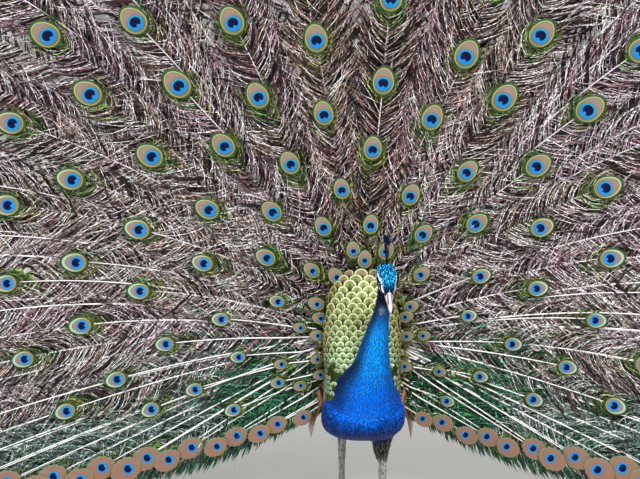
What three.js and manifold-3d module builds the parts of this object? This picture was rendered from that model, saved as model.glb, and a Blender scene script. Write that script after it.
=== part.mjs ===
// Displaying peacock, life size, in millimetres. +Z is up, the bird faces -Y, +X is its left.
// Every piece is one closed solid. Pieces that meet keep a gap of about a third of a millimetre.
import * as THREE from 'three';
import { mergeVertices } from 'three/addons/utils/BufferGeometryUtils.js';
import Module from 'manifold-3d';

const wasm = await Module();
wasm.setup();

// Driving dimensions
const GAP = 0.4;               // clearance where one piece is let into another
const HEAD_CENTRE = [42, -180, 551];
const HEAD_PITCH = 53;         // degrees, bill down
const HEAD_YAW = 11;           // degrees, bill toward the bird's left
const EYE_RADIUS = 6.6;
const CREST_LENGTH = 50;
const LEG_X = 39;              // half the distance between the legs
const STRIDE = 155;            // distance along Y between the two feet
const HOCK_HEIGHT = 150;      // height of the hocks
const ROOT_WIDTH = 85;         // half width of the oval the train grows from
const ROOT_HEIGHT = 140;       // half height of that oval
const ROOT_Z = 360;
const FAN_Y = 90;              // plane of the train's roots
const FAN_DISH = 0.00017;      // forward dish of the train, per millimetre
const TRAIN_LENGTH = 1070;     // from the root oval to the mean tip
const TRAIN_SCALLOP = 13;
const TRAIN_BLADES = 18;
const TRAIN_THICKNESS = 1;
const TAIL_LENGTH = 330;
const TAIL_HALF_ANGLE = 74;    // degrees
const DEG = Math.PI / 180;

// Plain vector of one station or point
function vec(p) {
  return new THREE.Vector3(p[0], p[1], p[2]);
}

// Moves every vertex of a geometry through a function of its old position
function warp(geometry, place) {
  const position = geometry.attributes.position;
  const p = new THREE.Vector3();
  for (let i = 0; i < position.count; i += 1) {
    p.fromBufferAttribute(position, i);
    place(p);
    position.setXYZ(i, p.x, p.y, p.z);
  }
  return geometry;
}

// Round body along a spine: each station is x, y, z, half width, half depth.
// The ends close over the shares `front` and `rear` of the length; `square` above 2 fills the corners.
function loft(stations, around, along, front, rear, square = 2) {
  const spine = new THREE.CatmullRomCurve3(stations.map(vec));
  const sizes = new THREE.CatmullRomCurve3(stations.map((s) => vec([s[3], s[4], 0])));
  return warp(new THREE.SphereGeometry(1, around, along), (p) => {
    const t = (1 - p.y) / 2;
    const reach = (Math.abs(p.x) ** square + Math.abs(p.z) ** square) ** (1 / square);
    const close = Math.min(t / front, (1 - t) / rear, 1);
    const round = reach < 1e-6 ? 0 : Math.sqrt(1 - (1 - close) ** 2) / reach;
    const size = sizes.getPoint(t);
    const along3 = spine.getTangent(t);
    const side = vec([1, 0, 0]).addScaledVector(along3, -along3.x).normalize();
    const depth = new THREE.Vector3().crossVectors(along3, side);
    const out = side.multiplyScalar(p.x * round * size.x);
    out.addScaledVector(depth, p.z * round * size.y);
    p.copy(spine.getPoint(t)).add(out);
  });
}

// Solid of a closed geometry, and back
function toSolid(geometry) {
  const bare = geometry.clone();
  bare.deleteAttribute('normal');
  bare.deleteAttribute('uv');
  const merged = mergeVertices(bare, 1e-4);
  return new wasm.Manifold(new wasm.Mesh({
    numProp: 3,
    vertProperties: new Float32Array(merged.attributes.position.array),
    triVerts: new Uint32Array(merged.index.array),
  }));
}

function toGeometry(solid) {
  const mesh = solid.getMesh();
  const geometry = new THREE.BufferGeometry();
  geometry.setAttribute('position', new THREE.BufferAttribute(mesh.vertProperties, 3));
  geometry.setIndex(new THREE.BufferAttribute(mesh.triVerts, 1));
  geometry.computeVertexNormals();
  return geometry;
}

// The same solid with its surface moved outward
function inflate(geometry, distance) {
  const bare = geometry.clone();
  bare.deleteAttribute('normal');
  bare.deleteAttribute('uv');
  const merged = mergeVertices(bare, 1e-4);
  merged.computeVertexNormals();
  const normal = merged.attributes.normal;
  const position = merged.attributes.position;
  for (let i = 0; i < position.count; i += 1) {
    position.setXYZ(
      i,
      position.getX(i) + normal.getX(i) * distance,
      position.getY(i) + normal.getY(i) * distance,
      position.getZ(i) + normal.getZ(i) * distance,
    );
  }
  return merged;
}

function largestBody(solid) {
  const bodies = solid.decompose();
  return bodies.reduce((best, body) => (body.volume() > best.volume() ? body : best));
}

function join(geometries) {
  const whole = geometries.map(toSolid).reduce((sum, solid) => sum.add(solid));
  return toGeometry(whole);
}

// Pieces in order: each one is cut back from the pieces listed before it
const pieces = [];

function piece(name, geometry, material) {
  pieces.push({ name, geometry, material });
}

function letIn(geometry, earlier) {
  geometry.computeBoundingBox();
  let solid = toSolid(geometry);
  let cut = false;
  earlier.forEach((other) => {
    if (!geometry.boundingBox.intersectsBox(other.grown.boundingBox)) return;
    const cutter = toSolid(other.grown);
    if (solid.intersect(cutter).isEmpty()) return;
    solid = solid.subtract(cutter);
    cut = true;
  });
  return cut ? toGeometry(largestBody(solid)) : geometry;
}

function finish(color, roughness) {
  return new THREE.MeshStandardMaterial({ color, roughness, metalness: 0 });
}

const BLUE = finish(0x1259b4, 0.45);
const NECK_BLUE = finish(0x1076d8, 0.4);
const HEAD_BLUE = finish(0x2f8fc4, 0.5);
const HORN = finish(0xa8a2b0, 0.35);
const EYE = finish(0x20130c, 0.08);
const CREST_BLUE = finish(0x16265c, 0.5);
const GOLD_GREEN = finish(0xa3b06f, 0.5);
const ROOT_GREEN = finish(0x5b6b46, 0.6);
const DOWN = finish(0x8d7f6c, 0.9);
const BARRED = finish(0xa69676, 0.7);
const RUST = finish(0x96572f, 0.6);
const TAIL_BROWN = finish(0x6d6257, 0.7);
const TRAIN_BRONZE = finish(0x76705f, 0.6);
const TRAIN_GREEN = finish(0x44614f, 0.6);
const BLACK = finish(0x131513, 0.8);
const LEG = finish(0x8b8f88, 0.6);
const CLAW = finish(0x3a3632, 0.4);

// Head, in its own frame: bill toward -Y, crown toward +Z, then turned and set on the neck
const headPose = new THREE.Matrix4().makeTranslation(...HEAD_CENTRE);
headPose.multiply(new THREE.Matrix4().makeRotationZ(HEAD_YAW * DEG));
headPose.multiply(new THREE.Matrix4().makeRotationX(HEAD_PITCH * DEG));

function onHead(geometry) {
  return geometry.applyMatrix4(headPose);
}

function eyeball(side) {
  const ball = new THREE.SphereGeometry(EYE_RADIUS, 12, 9);
  return onHead(ball.translate(side * 14.2, -9, 2.5));
}

function addHead() {
  const skull = loft([
    [0, 34, -4, 12.5, 12.5],
    [0, 19, 0, 19, 19],
    [0, 1, 1, 20.5, 20.5],
    [0, -16, -1, 16.5, 16],
    [0, -30, -3, 10, 9.5],
  ], 16, 10, 0.16, 0.1);
  const upper = loft([
    [0, -20, -1, 9.5, 8],
    [0, -37, -1, 7.2, 6.4],
    [0, -53, -3, 4.7, 4.7],
    [0, -66, -8.5, 1.5, 2],
  ], 10, 8, 0.1, 0.14);
  const lower = loft([
    [0, -20, -9, 8, 5],
    [0, -37, -8.6, 5.6, 4],
    [0, -54, -9, 3, 2.4],
  ], 10, 6, 0.1, 0.2);
  piece('eye_left', eyeball(1), EYE);
  piece('eye_right', eyeball(-1), EYE);
  piece('bill_upper', onHead(upper), HORN);
  piece('bill_lower', onHead(lower), HORN);
  piece('head', onHead(skull), HEAD_BLUE);
}

// Crest: a fan standing lengthwise on the crown, thicker at its tips
function addCrest() {
  const fan = warp(new THREE.BoxGeometry(1, 1, 1, 6, 3, 1), (p) => {
    const angle = (60 + p.x * 36) * DEG;
    const radius = 6 + (p.y + 0.5) * (CREST_LENGTH - 4 * Math.abs(p.x));
    const thick = 5 + (p.y + 0.5) * 5;
    p.set(p.z * thick, 21 + radius * Math.sin(angle), 12 + radius * Math.cos(angle));
  });
  piece('crest', onHead(fan), CREST_BLUE);
}

function addBody() {
  const trunk = loft([
    [0, -172, 262, 75, 42],
    [0, -112, 262, 88, 50],
    [0, -42, 279, 71, 76],
    [0, 30, 297, 63, 84],
    [0, 100, 312, 56, 69],
    [0, 152, 328, 44, 48],
    [0, 196, 340, 26, 27],
  ], 20, 14, 0.25, 0.16, 2.7);
  const neck = loft([
    [4, -92, 283, 76, 75],
    [8, -114, 332, 56, 54],
    [15, -127, 362, 41.5, 44],
    [19.5, -131, 400, 32, 35],
    [26, -134, 440, 24.5, 28],
    [34, -141, 480, 17.5, 22],
    [38.5, -151, 516, 16.5, 20],
    [42, -165, 549, 16.5, 19],
  ], 16, 14, 0.05, 0.08);
  piece('trunk', trunk, BLUE);
  piece('neck', neck, NECK_BLUE);
}

// Raised scale-feathered back in front of the train, the root of the train behind it,
// and the loose down under the tail
function addBack() {
  const mantle = loft([
    [0, 0, 262, 68, 66],
    [0, 4, 318, 75, 80],
    [0, 18, 376, 79, 67],
    [0, 36, 430, 75.5, 48],
    [0, 50, 480, 63, 33],
    [0, 58, 524, 40, 22],
  ], 20, 13, 0.1, 0.13);
  const rump = loft([
    [0, 87.4, ROOT_Z, ROOT_WIDTH - 0.6, ROOT_HEIGHT - 0.6],
    [0, 106, 358, 80, 132],
    [0, 128, 350, 66, 108],
    [0, 152, 342, 44, 72],
  ], 20, 8, 0.004, 0.4);
  const vent = loft([
    [0, 128, 292, 48, 40],
    [0, 176, 282, 55, 50],
    [0, 220, 258, 47, 42],
    [0, 250, 236, 28, 26],
  ], 12, 7, 0.2, 0.35);
  piece('mantle', mantle, GOLD_GREEN);
  piece('rump', rump, ROOT_GREEN);
  piece('vent_down', vent, DOWN);
}

function addWing(side, word) {
  const coverts = loft([
    [side * 56, -122, 314, 8, 30],
    [side * 63, -68, 304, 10, 54],
    [side * 65, -8, 289, 11, 61],
    [side * 68, 44, 262, 9, 46],
    [side * 77, 80, 230, 5, 22],
  ], 14, 9, 0.2, 0.25);
  const primaries = loft([
    [side * 78, 30, 252, 4, 24],
    [side * 88, 78, 205, 4.4, 27],
    [side * 99, 118, 163, 3.8, 25],
    [side * 108, 154, 124, 2.6, 16],
  ], 10, 8, 0.1, 0.3);
  piece(`wing_${word}`, coverts, BARRED);
  piece(`primaries_${word}`, primaries, RUST);
}

// Legs: the left foot is set forward of the right one
const FLOOR = new THREE.BoxGeometry(600, 600, 600).translate(0, 0, 300);

function toe(x, y, direction, length) {
  const run = (share) => [
    x + Math.sin(direction) * length * share,
    y - Math.cos(direction) * length * share,
  ];
  return loft([
    [...run(0), 5.6, 6.4, 6.4],
    [...run(0.4), 5, 4.8, 5.4],
    [...run(0.75), 4.1, 4.6, 4.7],
    [...run(1), 3.2, 3.4, 3.6],
  ], 8, 6, 0.1, 0.12);
}

function claw(x, y, direction, length) {
  const run = (reach, z, r) => [
    x + Math.sin(direction) * (length + reach),
    y - Math.cos(direction) * (length + reach),
    z,
    r * 0.8,
    r,
  ];
  return loft([run(-3, 4.6, 2.6), run(4, 4.8, 2.4), run(9, 3.2, 1.5), run(12, 1.4, 0.8)], 6, 4, 0.15, 0.2);
}

function addFoot(x, y, side, word) {
  const toes = [
    ['middle', 3 * side * DEG, 66],
    ['inner', -34 * side * DEG, 50],
    ['outer', 38 * side * DEG, 53],
    ['hind', (180 - 22 * side) * DEG, 25],
  ];
  const pad = new THREE.SphereGeometry(1, 10, 7).scale(11, 12, 8).translate(x, y, 6);
  const flesh = join([pad, ...toes.map(([, direction, length]) => toe(x, y, direction, length))]);
  const standing = toSolid(flesh).intersect(toSolid(FLOOR));
  piece(`foot_${word}`, toGeometry(standing), LEG);
  toes.forEach(([toeWord, direction, length]) => {
    piece(`claw_${word}_${toeWord}`, claw(x, y, direction, length), CLAW);
  });
}

function addLeg(side, word, footY, hockY, kneeY) {
  const x = side * LEG_X;
  const high = HOCK_HEIGHT;
  addFoot(x, footY, side, word);
  const tarsus = loft([
    [x, footY, 8, 7.4, 7.6],
    [x, footY + 4, 30, 5.8, 6.6],
    [x, footY + (hockY - footY) * 0.5, high * 0.52, 5.4, 6],
    [x, footY + (hockY - footY) * 0.84, high * 0.84, 6, 7],
    [x, hockY, high, 8, 9.4],
    [x, hockY - 4, high + 22, 6.4, 8],
  ], 8, 11, 0.05, 0.08);
  const spur = loft([
    [x, footY + 14, 56, 3.6, 3.6],
    [x - side * 4, footY + 25, 57, 2.8, 2.8],
    [x - side * 8, footY + 37, 63, 1, 1],
  ], 6, 4, 0.1, 0.2);
  piece(`shank_${word}`, join([tarsus, spur]), LEG);
  piece(`thigh_${word}`, loft([
    [side * 42, kneeY, 262, 34, 42],
    [side * 37, kneeY + (hockY - kneeY) * 0.4, 217, 22, 27],
    [side * 36, kneeY + (hockY - kneeY) * 0.7, 190, 16.5, 20],
    [side * 38, kneeY + (hockY - kneeY) * 0.86, 174, 12.5, 14],
    [x, hockY - 1, 156, 10.4, 11.4],
  ], 12, 8, 0.2, 0.12), BLACK);
}

// Fan of the train: u runs from -1 to 1 across it, s outward from the root oval in millimetres.
// The lower edge spreads below level near the body and levels off over the floor.
function fanEdge(s) {
  if (s < 500) return 106 + 20 * Math.exp(-s / 365);
  return 111.1 - 0.0175 * (s - 500);
}

function fanPoint(angle, s) {
  const across = ROOT_WIDTH * Math.sin(angle);
  const up = ROOT_HEIGHT * Math.cos(angle);
  const reach = Math.hypot(across, up);
  return vec([
    ROOT_WIDTH * across / reach + s * Math.sin(angle),
    FAN_Y - FAN_DISH * s * s,
    ROOT_Z + ROOT_HEIGHT * up / reach + s * Math.cos(angle),
  ]);
}

// One blade of the fan between two values of u, with a scalloped tip
function trainBlade(first, last) {
  const columns = 4;
  return warp(new THREE.BoxGeometry(1, 1, 1, columns, 7, 1), (p) => {
    const column = Math.round((p.x + 0.5) * columns);
    const tip = TRAIN_LENGTH + (column % 2 ? TRAIN_SCALLOP : -TRAIN_SCALLOP);
    const s = (p.y + 0.5) * tip;
    const inset = p.x * -2 * (GAP / 2) / (fanEdge(s) * DEG * (s + ROOT_WIDTH));
    const u = first + (last - first) * (p.x + 0.5) + inset;
    const at = fanPoint(u * fanEdge(s) * DEG, s);
    p.set(at.x, at.y - p.z * TRAIN_THICKNESS, at.z);
  });
}

function addTrain() {
  for (let i = 0; i < TRAIN_BLADES; i += 1) {
    const first = -1 + 2 * i / TRAIN_BLADES;
    const last = -1 + 2 * (i + 1) / TRAIN_BLADES;
    const low = i < 2 || i >= TRAIN_BLADES - 2;
    const name = `train_${String(i + 1).padStart(2, '0')}`;
    piece(name, trainBlade(first, last), low ? TRAIN_GREEN : TRAIN_BRONZE);
  }
}

// Stiff tail behind the train, a half fan that props it up
function addTail() {
  const columns = 20;
  const fan = warp(new THREE.BoxGeometry(1, 1, 1, columns, 2, 1), (p) => {
    const column = Math.round((p.x + 0.5) * columns);
    const tip = TAIL_LENGTH + (column % 2 ? 9 : -9);
    const s = -12 + (p.y + 0.5) * (tip + 12);
    const at = fanPoint(p.x * 2 * TAIL_HALF_ANGLE * DEG, s);
    p.set(at.x, at.y + 17 - p.z * 2, at.z);
  });
  piece('tail', fan, TAIL_BROWN);
}

addHead();
addBody();
addCrest();
addBack();
addWing(1, 'left');
addWing(-1, 'right');
addLeg(1, 'left', STRIDE * -0.46, -66, -96);
addLeg(-1, 'right', STRIDE * 0.54, 90, 36);
addTrain();
addTail();

const bird = new THREE.Group();
const done = [];
pieces.forEach(({ name, geometry, material }) => {
  const mesh = new THREE.Mesh(letIn(geometry, done), material);
  const grown = inflate(geometry, GAP);
  grown.computeBoundingBox();
  done.push({ grown });
  mesh.name = name;
  bird.add(mesh);
});

// The origin is on the floor under the middle of the whole bird
const extent = new THREE.Box3().setFromObject(bird);
const middle = extent.getCenter(new THREE.Vector3());
bird.position.set(-middle.x, -middle.y, -extent.min.z);

const peacock = new THREE.Group();
peacock.add(bird);

export default peacock;
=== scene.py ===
import math

import bmesh
import bpy
import numpy as np
from mathutils import Matrix, Vector
from mathutils.bvhtree import BVHTree


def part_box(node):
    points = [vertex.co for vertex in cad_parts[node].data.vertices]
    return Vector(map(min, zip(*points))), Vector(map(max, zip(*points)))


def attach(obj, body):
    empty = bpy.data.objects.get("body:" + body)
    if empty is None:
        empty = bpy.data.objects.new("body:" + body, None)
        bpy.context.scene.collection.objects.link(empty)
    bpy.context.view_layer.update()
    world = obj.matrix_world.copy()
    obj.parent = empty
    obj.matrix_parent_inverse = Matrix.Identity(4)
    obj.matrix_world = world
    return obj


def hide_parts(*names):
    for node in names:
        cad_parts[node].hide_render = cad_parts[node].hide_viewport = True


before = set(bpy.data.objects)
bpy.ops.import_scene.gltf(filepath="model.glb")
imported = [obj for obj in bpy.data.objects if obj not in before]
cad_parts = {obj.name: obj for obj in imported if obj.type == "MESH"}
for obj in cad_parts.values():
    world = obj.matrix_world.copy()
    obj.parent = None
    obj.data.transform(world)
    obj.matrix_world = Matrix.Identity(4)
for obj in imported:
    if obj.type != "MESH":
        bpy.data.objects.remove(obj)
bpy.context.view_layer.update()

# Place of the bird. The train grows from an oval on the back, and every other place is given
# from the plane of that oval, because the front of the train's blades starts in it.
fan_plane_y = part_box("train_09")[1][1] - 0.0005
body_shift = Vector((0.0, fan_plane_y - 0.090, 0.0))


# ---------------------------------------------------------------- studio
# A pale floor that runs back out of sight, a broad soft lamp in front and above, a weaker one
# from the side, and a pale sky. The camera stands in front, a little above the bird's crest.
def linear(hex_colour):
    """sRGB hex to linear RGBA."""
    parts = [int(hex_colour[i:i + 2], 16) / 255 for i in (1, 3, 5)]
    return [c / 12.92 if c <= 0.04045 else ((c + 0.055) / 1.055) ** 2.4 for c in parts] + [1.0]


def add(tree, kind, inputs=None, **settings):
    """One node with its settings; an input is a value, or a (node, output) pair to link."""
    node = tree.nodes.new(kind)
    for key, value in settings.items():
        setattr(node, key, value)
    for key, value in (inputs or {}).items():
        if isinstance(value, tuple) and len(value) == 2 and hasattr(value[0], "outputs"):
            tree.links.new(value[0].outputs[value[1]], node.inputs[key])
        else:
            node.inputs[key].default_value = value
    return node


def new_material(name):
    material = bpy.data.materials.new(name)
    material.use_nodes = True
    material.node_tree.nodes.clear()
    return material, material.node_tree


FLOOR_SIZE = 30
FLOOR_BACK = 8
bpy.ops.object.select_all(action="DESELECT")
bpy.ops.mesh.primitive_plane_add(size=FLOOR_SIZE, location=(0, FLOOR_BACK, 0))
floor = bpy.context.object
floor.name = "floor"

# Matt emulsion paint, rolled on: no highlight, and a mottle metres across, too faint to notice.
floor_finish, tree = new_material("matt_painted_floor")
grain = add(tree, "ShaderNodeTexNoise", {"Scale": 3.0, "Detail": 3.0})
shade = add(tree, "ShaderNodeMix", {
    0: (grain, "Fac"), "A": linear("#cfccc4"), "B": linear("#d6d3cb")}, data_type="RGBA")
surface = add(tree, "ShaderNodeBsdfPrincipled", {"Base Color": (shade, "Result"), "Roughness": 0.85})
add(tree, "ShaderNodeOutputMaterial", {"Surface": (surface, "BSDF")})
floor.data.materials.append(floor_finish)

CAMERA_HEIGHT = 1.45
CAMERA_BACK = 4.3
CAMERA_LEFT = 0.083
CAMERA_PITCH = 11.28           # degrees below level
LENS_MM = 126.9
SENSOR_MM = 36.0
SIGHT = 100.0
camera_data = bpy.data.cameras.new("camera")
camera_data.lens = LENS_MM
camera_data.sensor_width = SENSOR_MM
camera_data.clip_end = SIGHT
camera = bpy.data.objects.new("camera", camera_data)
bpy.context.collection.objects.link(camera)
camera.location = Vector((-CAMERA_LEFT, -CAMERA_BACK, CAMERA_HEIGHT)) + body_shift
camera.rotation_euler = (math.radians(90 - CAMERA_PITCH), 0, 0)
bpy.context.scene.camera = camera


def lamp(name, place, aim, size, power, colour):
    """A round soft lamp: where it hangs, what it is aimed at, its width in metres and its watts."""
    light = bpy.data.lights.new(name, "AREA")
    light.shape = "DISK"
    light.size = size
    light.energy = power
    light.color = linear(colour)[:3]
    holder = bpy.data.objects.new(name, light)
    bpy.context.collection.objects.link(holder)
    holder.location = place
    holder.rotation_euler = (Vector(aim) - Vector(place)).to_track_quat("-Z", "Y").to_euler()


lamp("key_lamp", (0.9, -3.8, 3.3), (0, 0, 0.6), size=1.6, power=250, colour="#fffaf4")
lamp("side_lamp", (-3.2, -2.4, 1.9), (0, 0, 0.6), size=2.0, power=90, colour="#eef4ff")
lamp("back_lamp", (1.5, 3.6, 2.8), (0, 0, 0.7), size=2.2, power=110, colour="#ffffff")
SKY_STRENGTH = 0.55
world = bpy.data.worlds.new("pale_sky")
bpy.context.scene.world = world
world.use_nodes = True
world.node_tree.nodes["Background"].inputs["Color"].default_value = linear("#dfe6ee")
world.node_tree.nodes["Background"].inputs["Strength"].default_value = SKY_STRENGTH
bpy.context.scene.view_settings.view_transform = "Standard"


# ---------------------------------------------------------------- skin
# One closed skin carries the head, neck, body, wings' flesh, legs and toes. It is modelled over
# the solids, rounded, and drawn in by the depth of the feathers that lie on it.
SHIFT = np.array(body_shift)
NECK = np.array([
    [4, -92, 283], [8, -114, 332], [15, -127, 362], [19.5, -131, 400],
    [26, -134, 440], [34, -141, 480], [38.5, -151, 516], [42, -165, 549]]) / 1000
MANTLE = np.array([
    [0, 0, 262], [0, 4, 318], [0, 18, 376], [0, 36, 430], [0, 50, 480], [0, 58, 524]]) / 1000
HEAD_CENTRE = Vector((0.042, -0.180, 0.551)) + body_shift
HEAD_REACH = 0.036
HEAD_PITCH = math.radians(53)
HEAD_YAW = math.radians(11)
HEAD_TURN = Matrix.Rotation(HEAD_YAW, 3, "Z") @ Matrix.Rotation(HEAD_PITCH, 3, "X")
FLESH = ("head", "neck", "trunk", "mantle", "rump", "vent_down", "wing_left", "wing_right", "thigh_left",
         "thigh_right", "shank_left", "shank_right", "foot_left", "foot_right")
(HEAD, NECK_PART, TRUNK, MANTLE_PART, RUMP, VENT, WING_LEFT, WING_RIGHT, THIGH_LEFT, THIGH_RIGHT,
 SHANK_LEFT, SHANK_RIGHT, FOOT_LEFT, FOOT_RIGHT) = range(14)
SKIN_VOXEL = 0.0019
SWELL = 0.0007                 # thickens thin parts for the remesh; only the legs keep it
SKIN_KEPT = 0.6                # flat stretches need fewer faces than the even mesh has
COAT_DEPTH = np.array([0.7, 2.0, 2.4, 3.0, 1.6, 3.0, 1.8, 1.8, 1.4, 1.4, 0, 0, 0, 0]) / 1000
SMOOTHING = np.array([0.08, 0.8, 0.8, 0.8, 0.35, 0.8, 0.5, 0.5, 0.22, 0.22, 0.12, 0.12, 0.1, 0.1])
draw = np.random.default_rng(11)


def unit(v):
    return v / np.maximum(np.linalg.norm(v, axis=-1, keepdims=True), 1e-12)


def dot(a, b):
    return (a * b).sum(-1)


def ramp(x, low, high):
    """0 below low, 1 above high, smooth between; low may be the larger."""
    t = np.clip((x - low) / (high - low), 0, 1)
    return t * t * (3 - 2 * t)


def of_wing(part):
    return (part == WING_LEFT) | (part == WING_RIGHT)


def of_thigh(part):
    return (part == THIGH_LEFT) | (part == THIGH_RIGHT)


def in_head(points):
    """Points in the head's own axes, in millimetres: bill toward -Y, crown toward +Z."""
    return (points - np.array(HEAD_CENTRE)) @ np.array(HEAD_TURN) * 1000


def from_head(points):
    """Places of points given in the head's own axes, in millimetres."""
    return np.asarray(points) / 1000 @ np.array(HEAD_TURN).T + np.array(HEAD_CENTRE)


def along_curve(knots, points):
    """Share of the way along a row of knots, in part places, of the place nearest each point."""
    knots = knots + SHIFT
    best = np.full(len(points), 1e9)
    share = np.zeros(len(points))
    for k in range(len(knots) - 1):
        run = knots[k + 1] - knots[k]
        t = np.clip((points - knots[k]) @ run / (run @ run), 0, 1)
        away = np.linalg.norm(points - knots[k] - t[:, None] * run, axis=1)
        share = np.where(away < best, (k + t) / (len(knots) - 1), share)
        best = np.minimum(best, away)
    return share


def on_curve(knots, share):
    """Places and directions at shares of the way along a row of knots."""
    knots = knots + SHIFT
    steps = np.linspace(0, 1, len(knots))
    place = np.stack([np.interp(share, steps, knots[:, k]) for k in range(3)], -1)
    slope = np.gradient(knots, axis=0)
    return place, unit(np.stack([np.interp(share, steps, slope[:, k]) for k in range(3)], -1))


def merged_copy(node, name):
    """A copy of a solid with its doubled points merged."""
    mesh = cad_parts[node].data.copy()
    form = bmesh.new()
    form.from_mesh(mesh)
    bmesh.ops.remove_doubles(form, verts=form.verts, dist=1e-5)
    form.to_mesh(mesh)
    form.free()
    mesh.materials.clear()
    copy = bpy.data.objects.new(name, mesh)
    bpy.context.collection.objects.link(copy)
    return copy


bpy.ops.object.select_all(action="DESELECT")
copies = []
faces_before = [0]
for name in FLESH:
    copies.append(merged_copy(name, "flesh_" + name))
    faces_before.append(faces_before[-1] + len(copies[-1].data.polygons))
form = bmesh.new()
for copy in copies:
    form.from_mesh(copy.data)
solid_tree = BVHTree.FromBMesh(form)
form.free()
for copy in copies:
    copy.select_set(True)
bpy.context.view_layer.objects.active = copies[0]
bpy.ops.object.join()
skin = bpy.context.object
skin.name = "skin"
swell = skin.modifiers.new("swell", "DISPLACE")
swell.mid_level = 0
swell.strength = SWELL
bpy.ops.object.modifier_apply(modifier=swell.name)


def remeshed(piece, voxel):
    """Gives the active piece an even mesh of small squares."""
    remesh = piece.modifiers.new("remesh", "REMESH")
    remesh.mode = "VOXEL"
    remesh.voxel_size = voxel
    bpy.ops.object.modifier_apply(modifier=remesh.name)


remeshed(skin, SKIN_VOXEL)
bpy.ops.object.mode_set(mode="EDIT")
form = bmesh.from_edit_mesh(skin.data)
for face in form.faces:
    face.select_set((face.calc_center_median() - HEAD_CENTRE).length < HEAD_REACH)
bmesh.update_edit_mesh(skin.data)
bpy.ops.mesh.subdivide(number_cuts=1, smoothness=0)
bpy.ops.object.mode_set(mode="OBJECT")


def points_of(mesh):
    found = np.empty(len(mesh.vertices) * 3, np.float32)
    mesh.vertices.foreach_get("co", found)
    return found.reshape(-1, 3).astype(float)


def normals_of(mesh):
    found = np.empty(len(mesh.vertices) * 3, np.float32)
    mesh.vertex_normals.foreach_get("vector", found)
    return found.reshape(-1, 3).astype(float)


def edges_of(mesh):
    found = np.empty(len(mesh.edges) * 2, np.int32)
    mesh.edges.foreach_get("vertices", found)
    return found.reshape(-1, 2)


def shaded_smooth(mesh):
    mesh.polygons.foreach_set("use_smooth", np.ones(len(mesh.polygons), bool))


def painted(mesh, tones, share=1.0):
    """Stores a colour for each point, and a share that a material may read as the alpha."""
    layer = mesh.color_attributes.new("tint", "FLOAT_COLOR", "POINT")
    colours = np.ones((len(tones), 4), np.float32)
    colours[:, :3] = tones
    colours[:, 3] = share
    layer.data.foreach_set("color", colours.ravel())


def relaxed(points, edges, factor, rounds):
    """Points drawn toward the mean of their neighbours, each by its own factor."""
    count = np.maximum(np.bincount(edges.ravel(), minlength=len(points)), 1)[:, None]
    for _ in range(rounds):
        first, second = points[edges[:, 0]], points[edges[:, 1]]
        total = np.stack([
            np.bincount(edges[:, 0], second[:, k], len(points))
            + np.bincount(edges[:, 1], first[:, k], len(points)) for k in range(points.shape[1])], -1)
        points = points + (total / count - points) * factor[:, None]
    return points


def set_points(mesh, points):
    mesh.vertices.foreach_set("co", np.ascontiguousarray(points, np.float32).ravel())
    mesh.update()


FACTOR_ROUNDS = 12
DEPTH_ROUNDS = 30
SKIN_ROUNDS = 45
points = points_of(skin.data)
nearest_face = np.array([solid_tree.find_nearest(Vector(p))[2] for p in points])
part_of = np.searchsorted(faces_before, nearest_face, side="right") - 1
edges = edges_of(skin.data)
halfway = np.full(len(points), 0.5)
factor = relaxed(SMOOTHING[part_of][:, None], edges, halfway, FACTOR_ROUNDS)[:, 0]
depth = relaxed(COAT_DEPTH[part_of][:, None], edges, halfway, DEPTH_ROUNDS)[:, 0]
points = relaxed(points, edges, factor, SKIN_ROUNDS)
set_points(skin.data, points)
normals = normals_of(skin.data)
points = points - normals * (depth + SWELL * (part_of < SHANK_LEFT))[:, None]

# The face: a raised lid round each eye, a brow above it, a fuller ear patch behind it and a crease
# from the gape. Places on the head are in millimetres, in the head's own axes.
EYE_Y, EYE_Z = -9.0, 2.5
EYE_RADIUS = 0.0066
HEAD_ROOM = 45
LID_RING = 5.9
LID_LIFT = 0.0009
EAR_LIFT = 0.0009
BROW_LIFT = 0.0007
GAPE_DEPTH = 0.0007
LID_DRAWN_IN = 0.55
local = in_head(points)
near_head = np.linalg.norm(local, axis=1) < HEAD_ROOM
across = np.abs(local[:, 0])
ahead, above = local[:, 1], local[:, 2]
from_eye = np.hypot((ahead - EYE_Y) / 1.08, (above - EYE_Z) / 0.92)
on_side = ramp(across, 9, 13) * near_head
lid = np.exp(-((from_eye - LID_RING) / 0.9) ** 2) * on_side
ear = np.exp(-((ahead - 5) / 5) ** 2 - ((above + 3) / 5) ** 2) * on_side
brow = np.exp(-((ahead + 9) / 8) ** 2 - ((above - 10.5) / 2.5) ** 2) * on_side
gape = np.exp(-((above + 7.5 + 0.25 * (ahead + 20)) / 0.8) ** 2) * ramp(ahead, -9, -15) * near_head
gape *= ramp(across, 3, 6)
lift = LID_LIFT * lid + EAR_LIFT * ear + BROW_LIFT * brow - GAPE_DEPTH * gape
points = points + normals * lift[:, None]
inward = np.stack([np.zeros(len(points)), EYE_Y - ahead, EYE_Z - above], -1)
points = points + (unit(inward) * (LID_DRAWN_IN * lid)[:, None] / 1000) @ np.array(HEAD_TURN).T
set_points(skin.data, points)
normals = normals_of(skin.data)

EARS_Z = -2.0


def shade_of(hex_colour):
    """sRGB hex to linear RGB."""
    return np.array(linear(hex_colour)[:3])


def mixed(share, low, high):
    """Row of colours from low to high; each is a hex value or an array of colours."""
    low = shade_of(low) if isinstance(low, str) else low
    high = shade_of(high) if isinstance(high, str) else high
    return low + (high - low) * share[:, None]


def painted_shade_line(points, start, end, wide):
    """Weight of painted shade along a line across the breast from start to end (x, z in millimetres): 1 on
    the line, 0 well beside it.
    """
    flat = (points - SHIFT)[:, [0, 2]] * 1000
    start, end = np.array(start, float), np.array(end, float)
    run = end - start
    t = np.clip((flat - start) @ run / (run @ run), 0, 1)
    return np.exp(-(np.linalg.norm(flat - start - t[:, None] * run, axis=1) / wide) ** 2)


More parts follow.
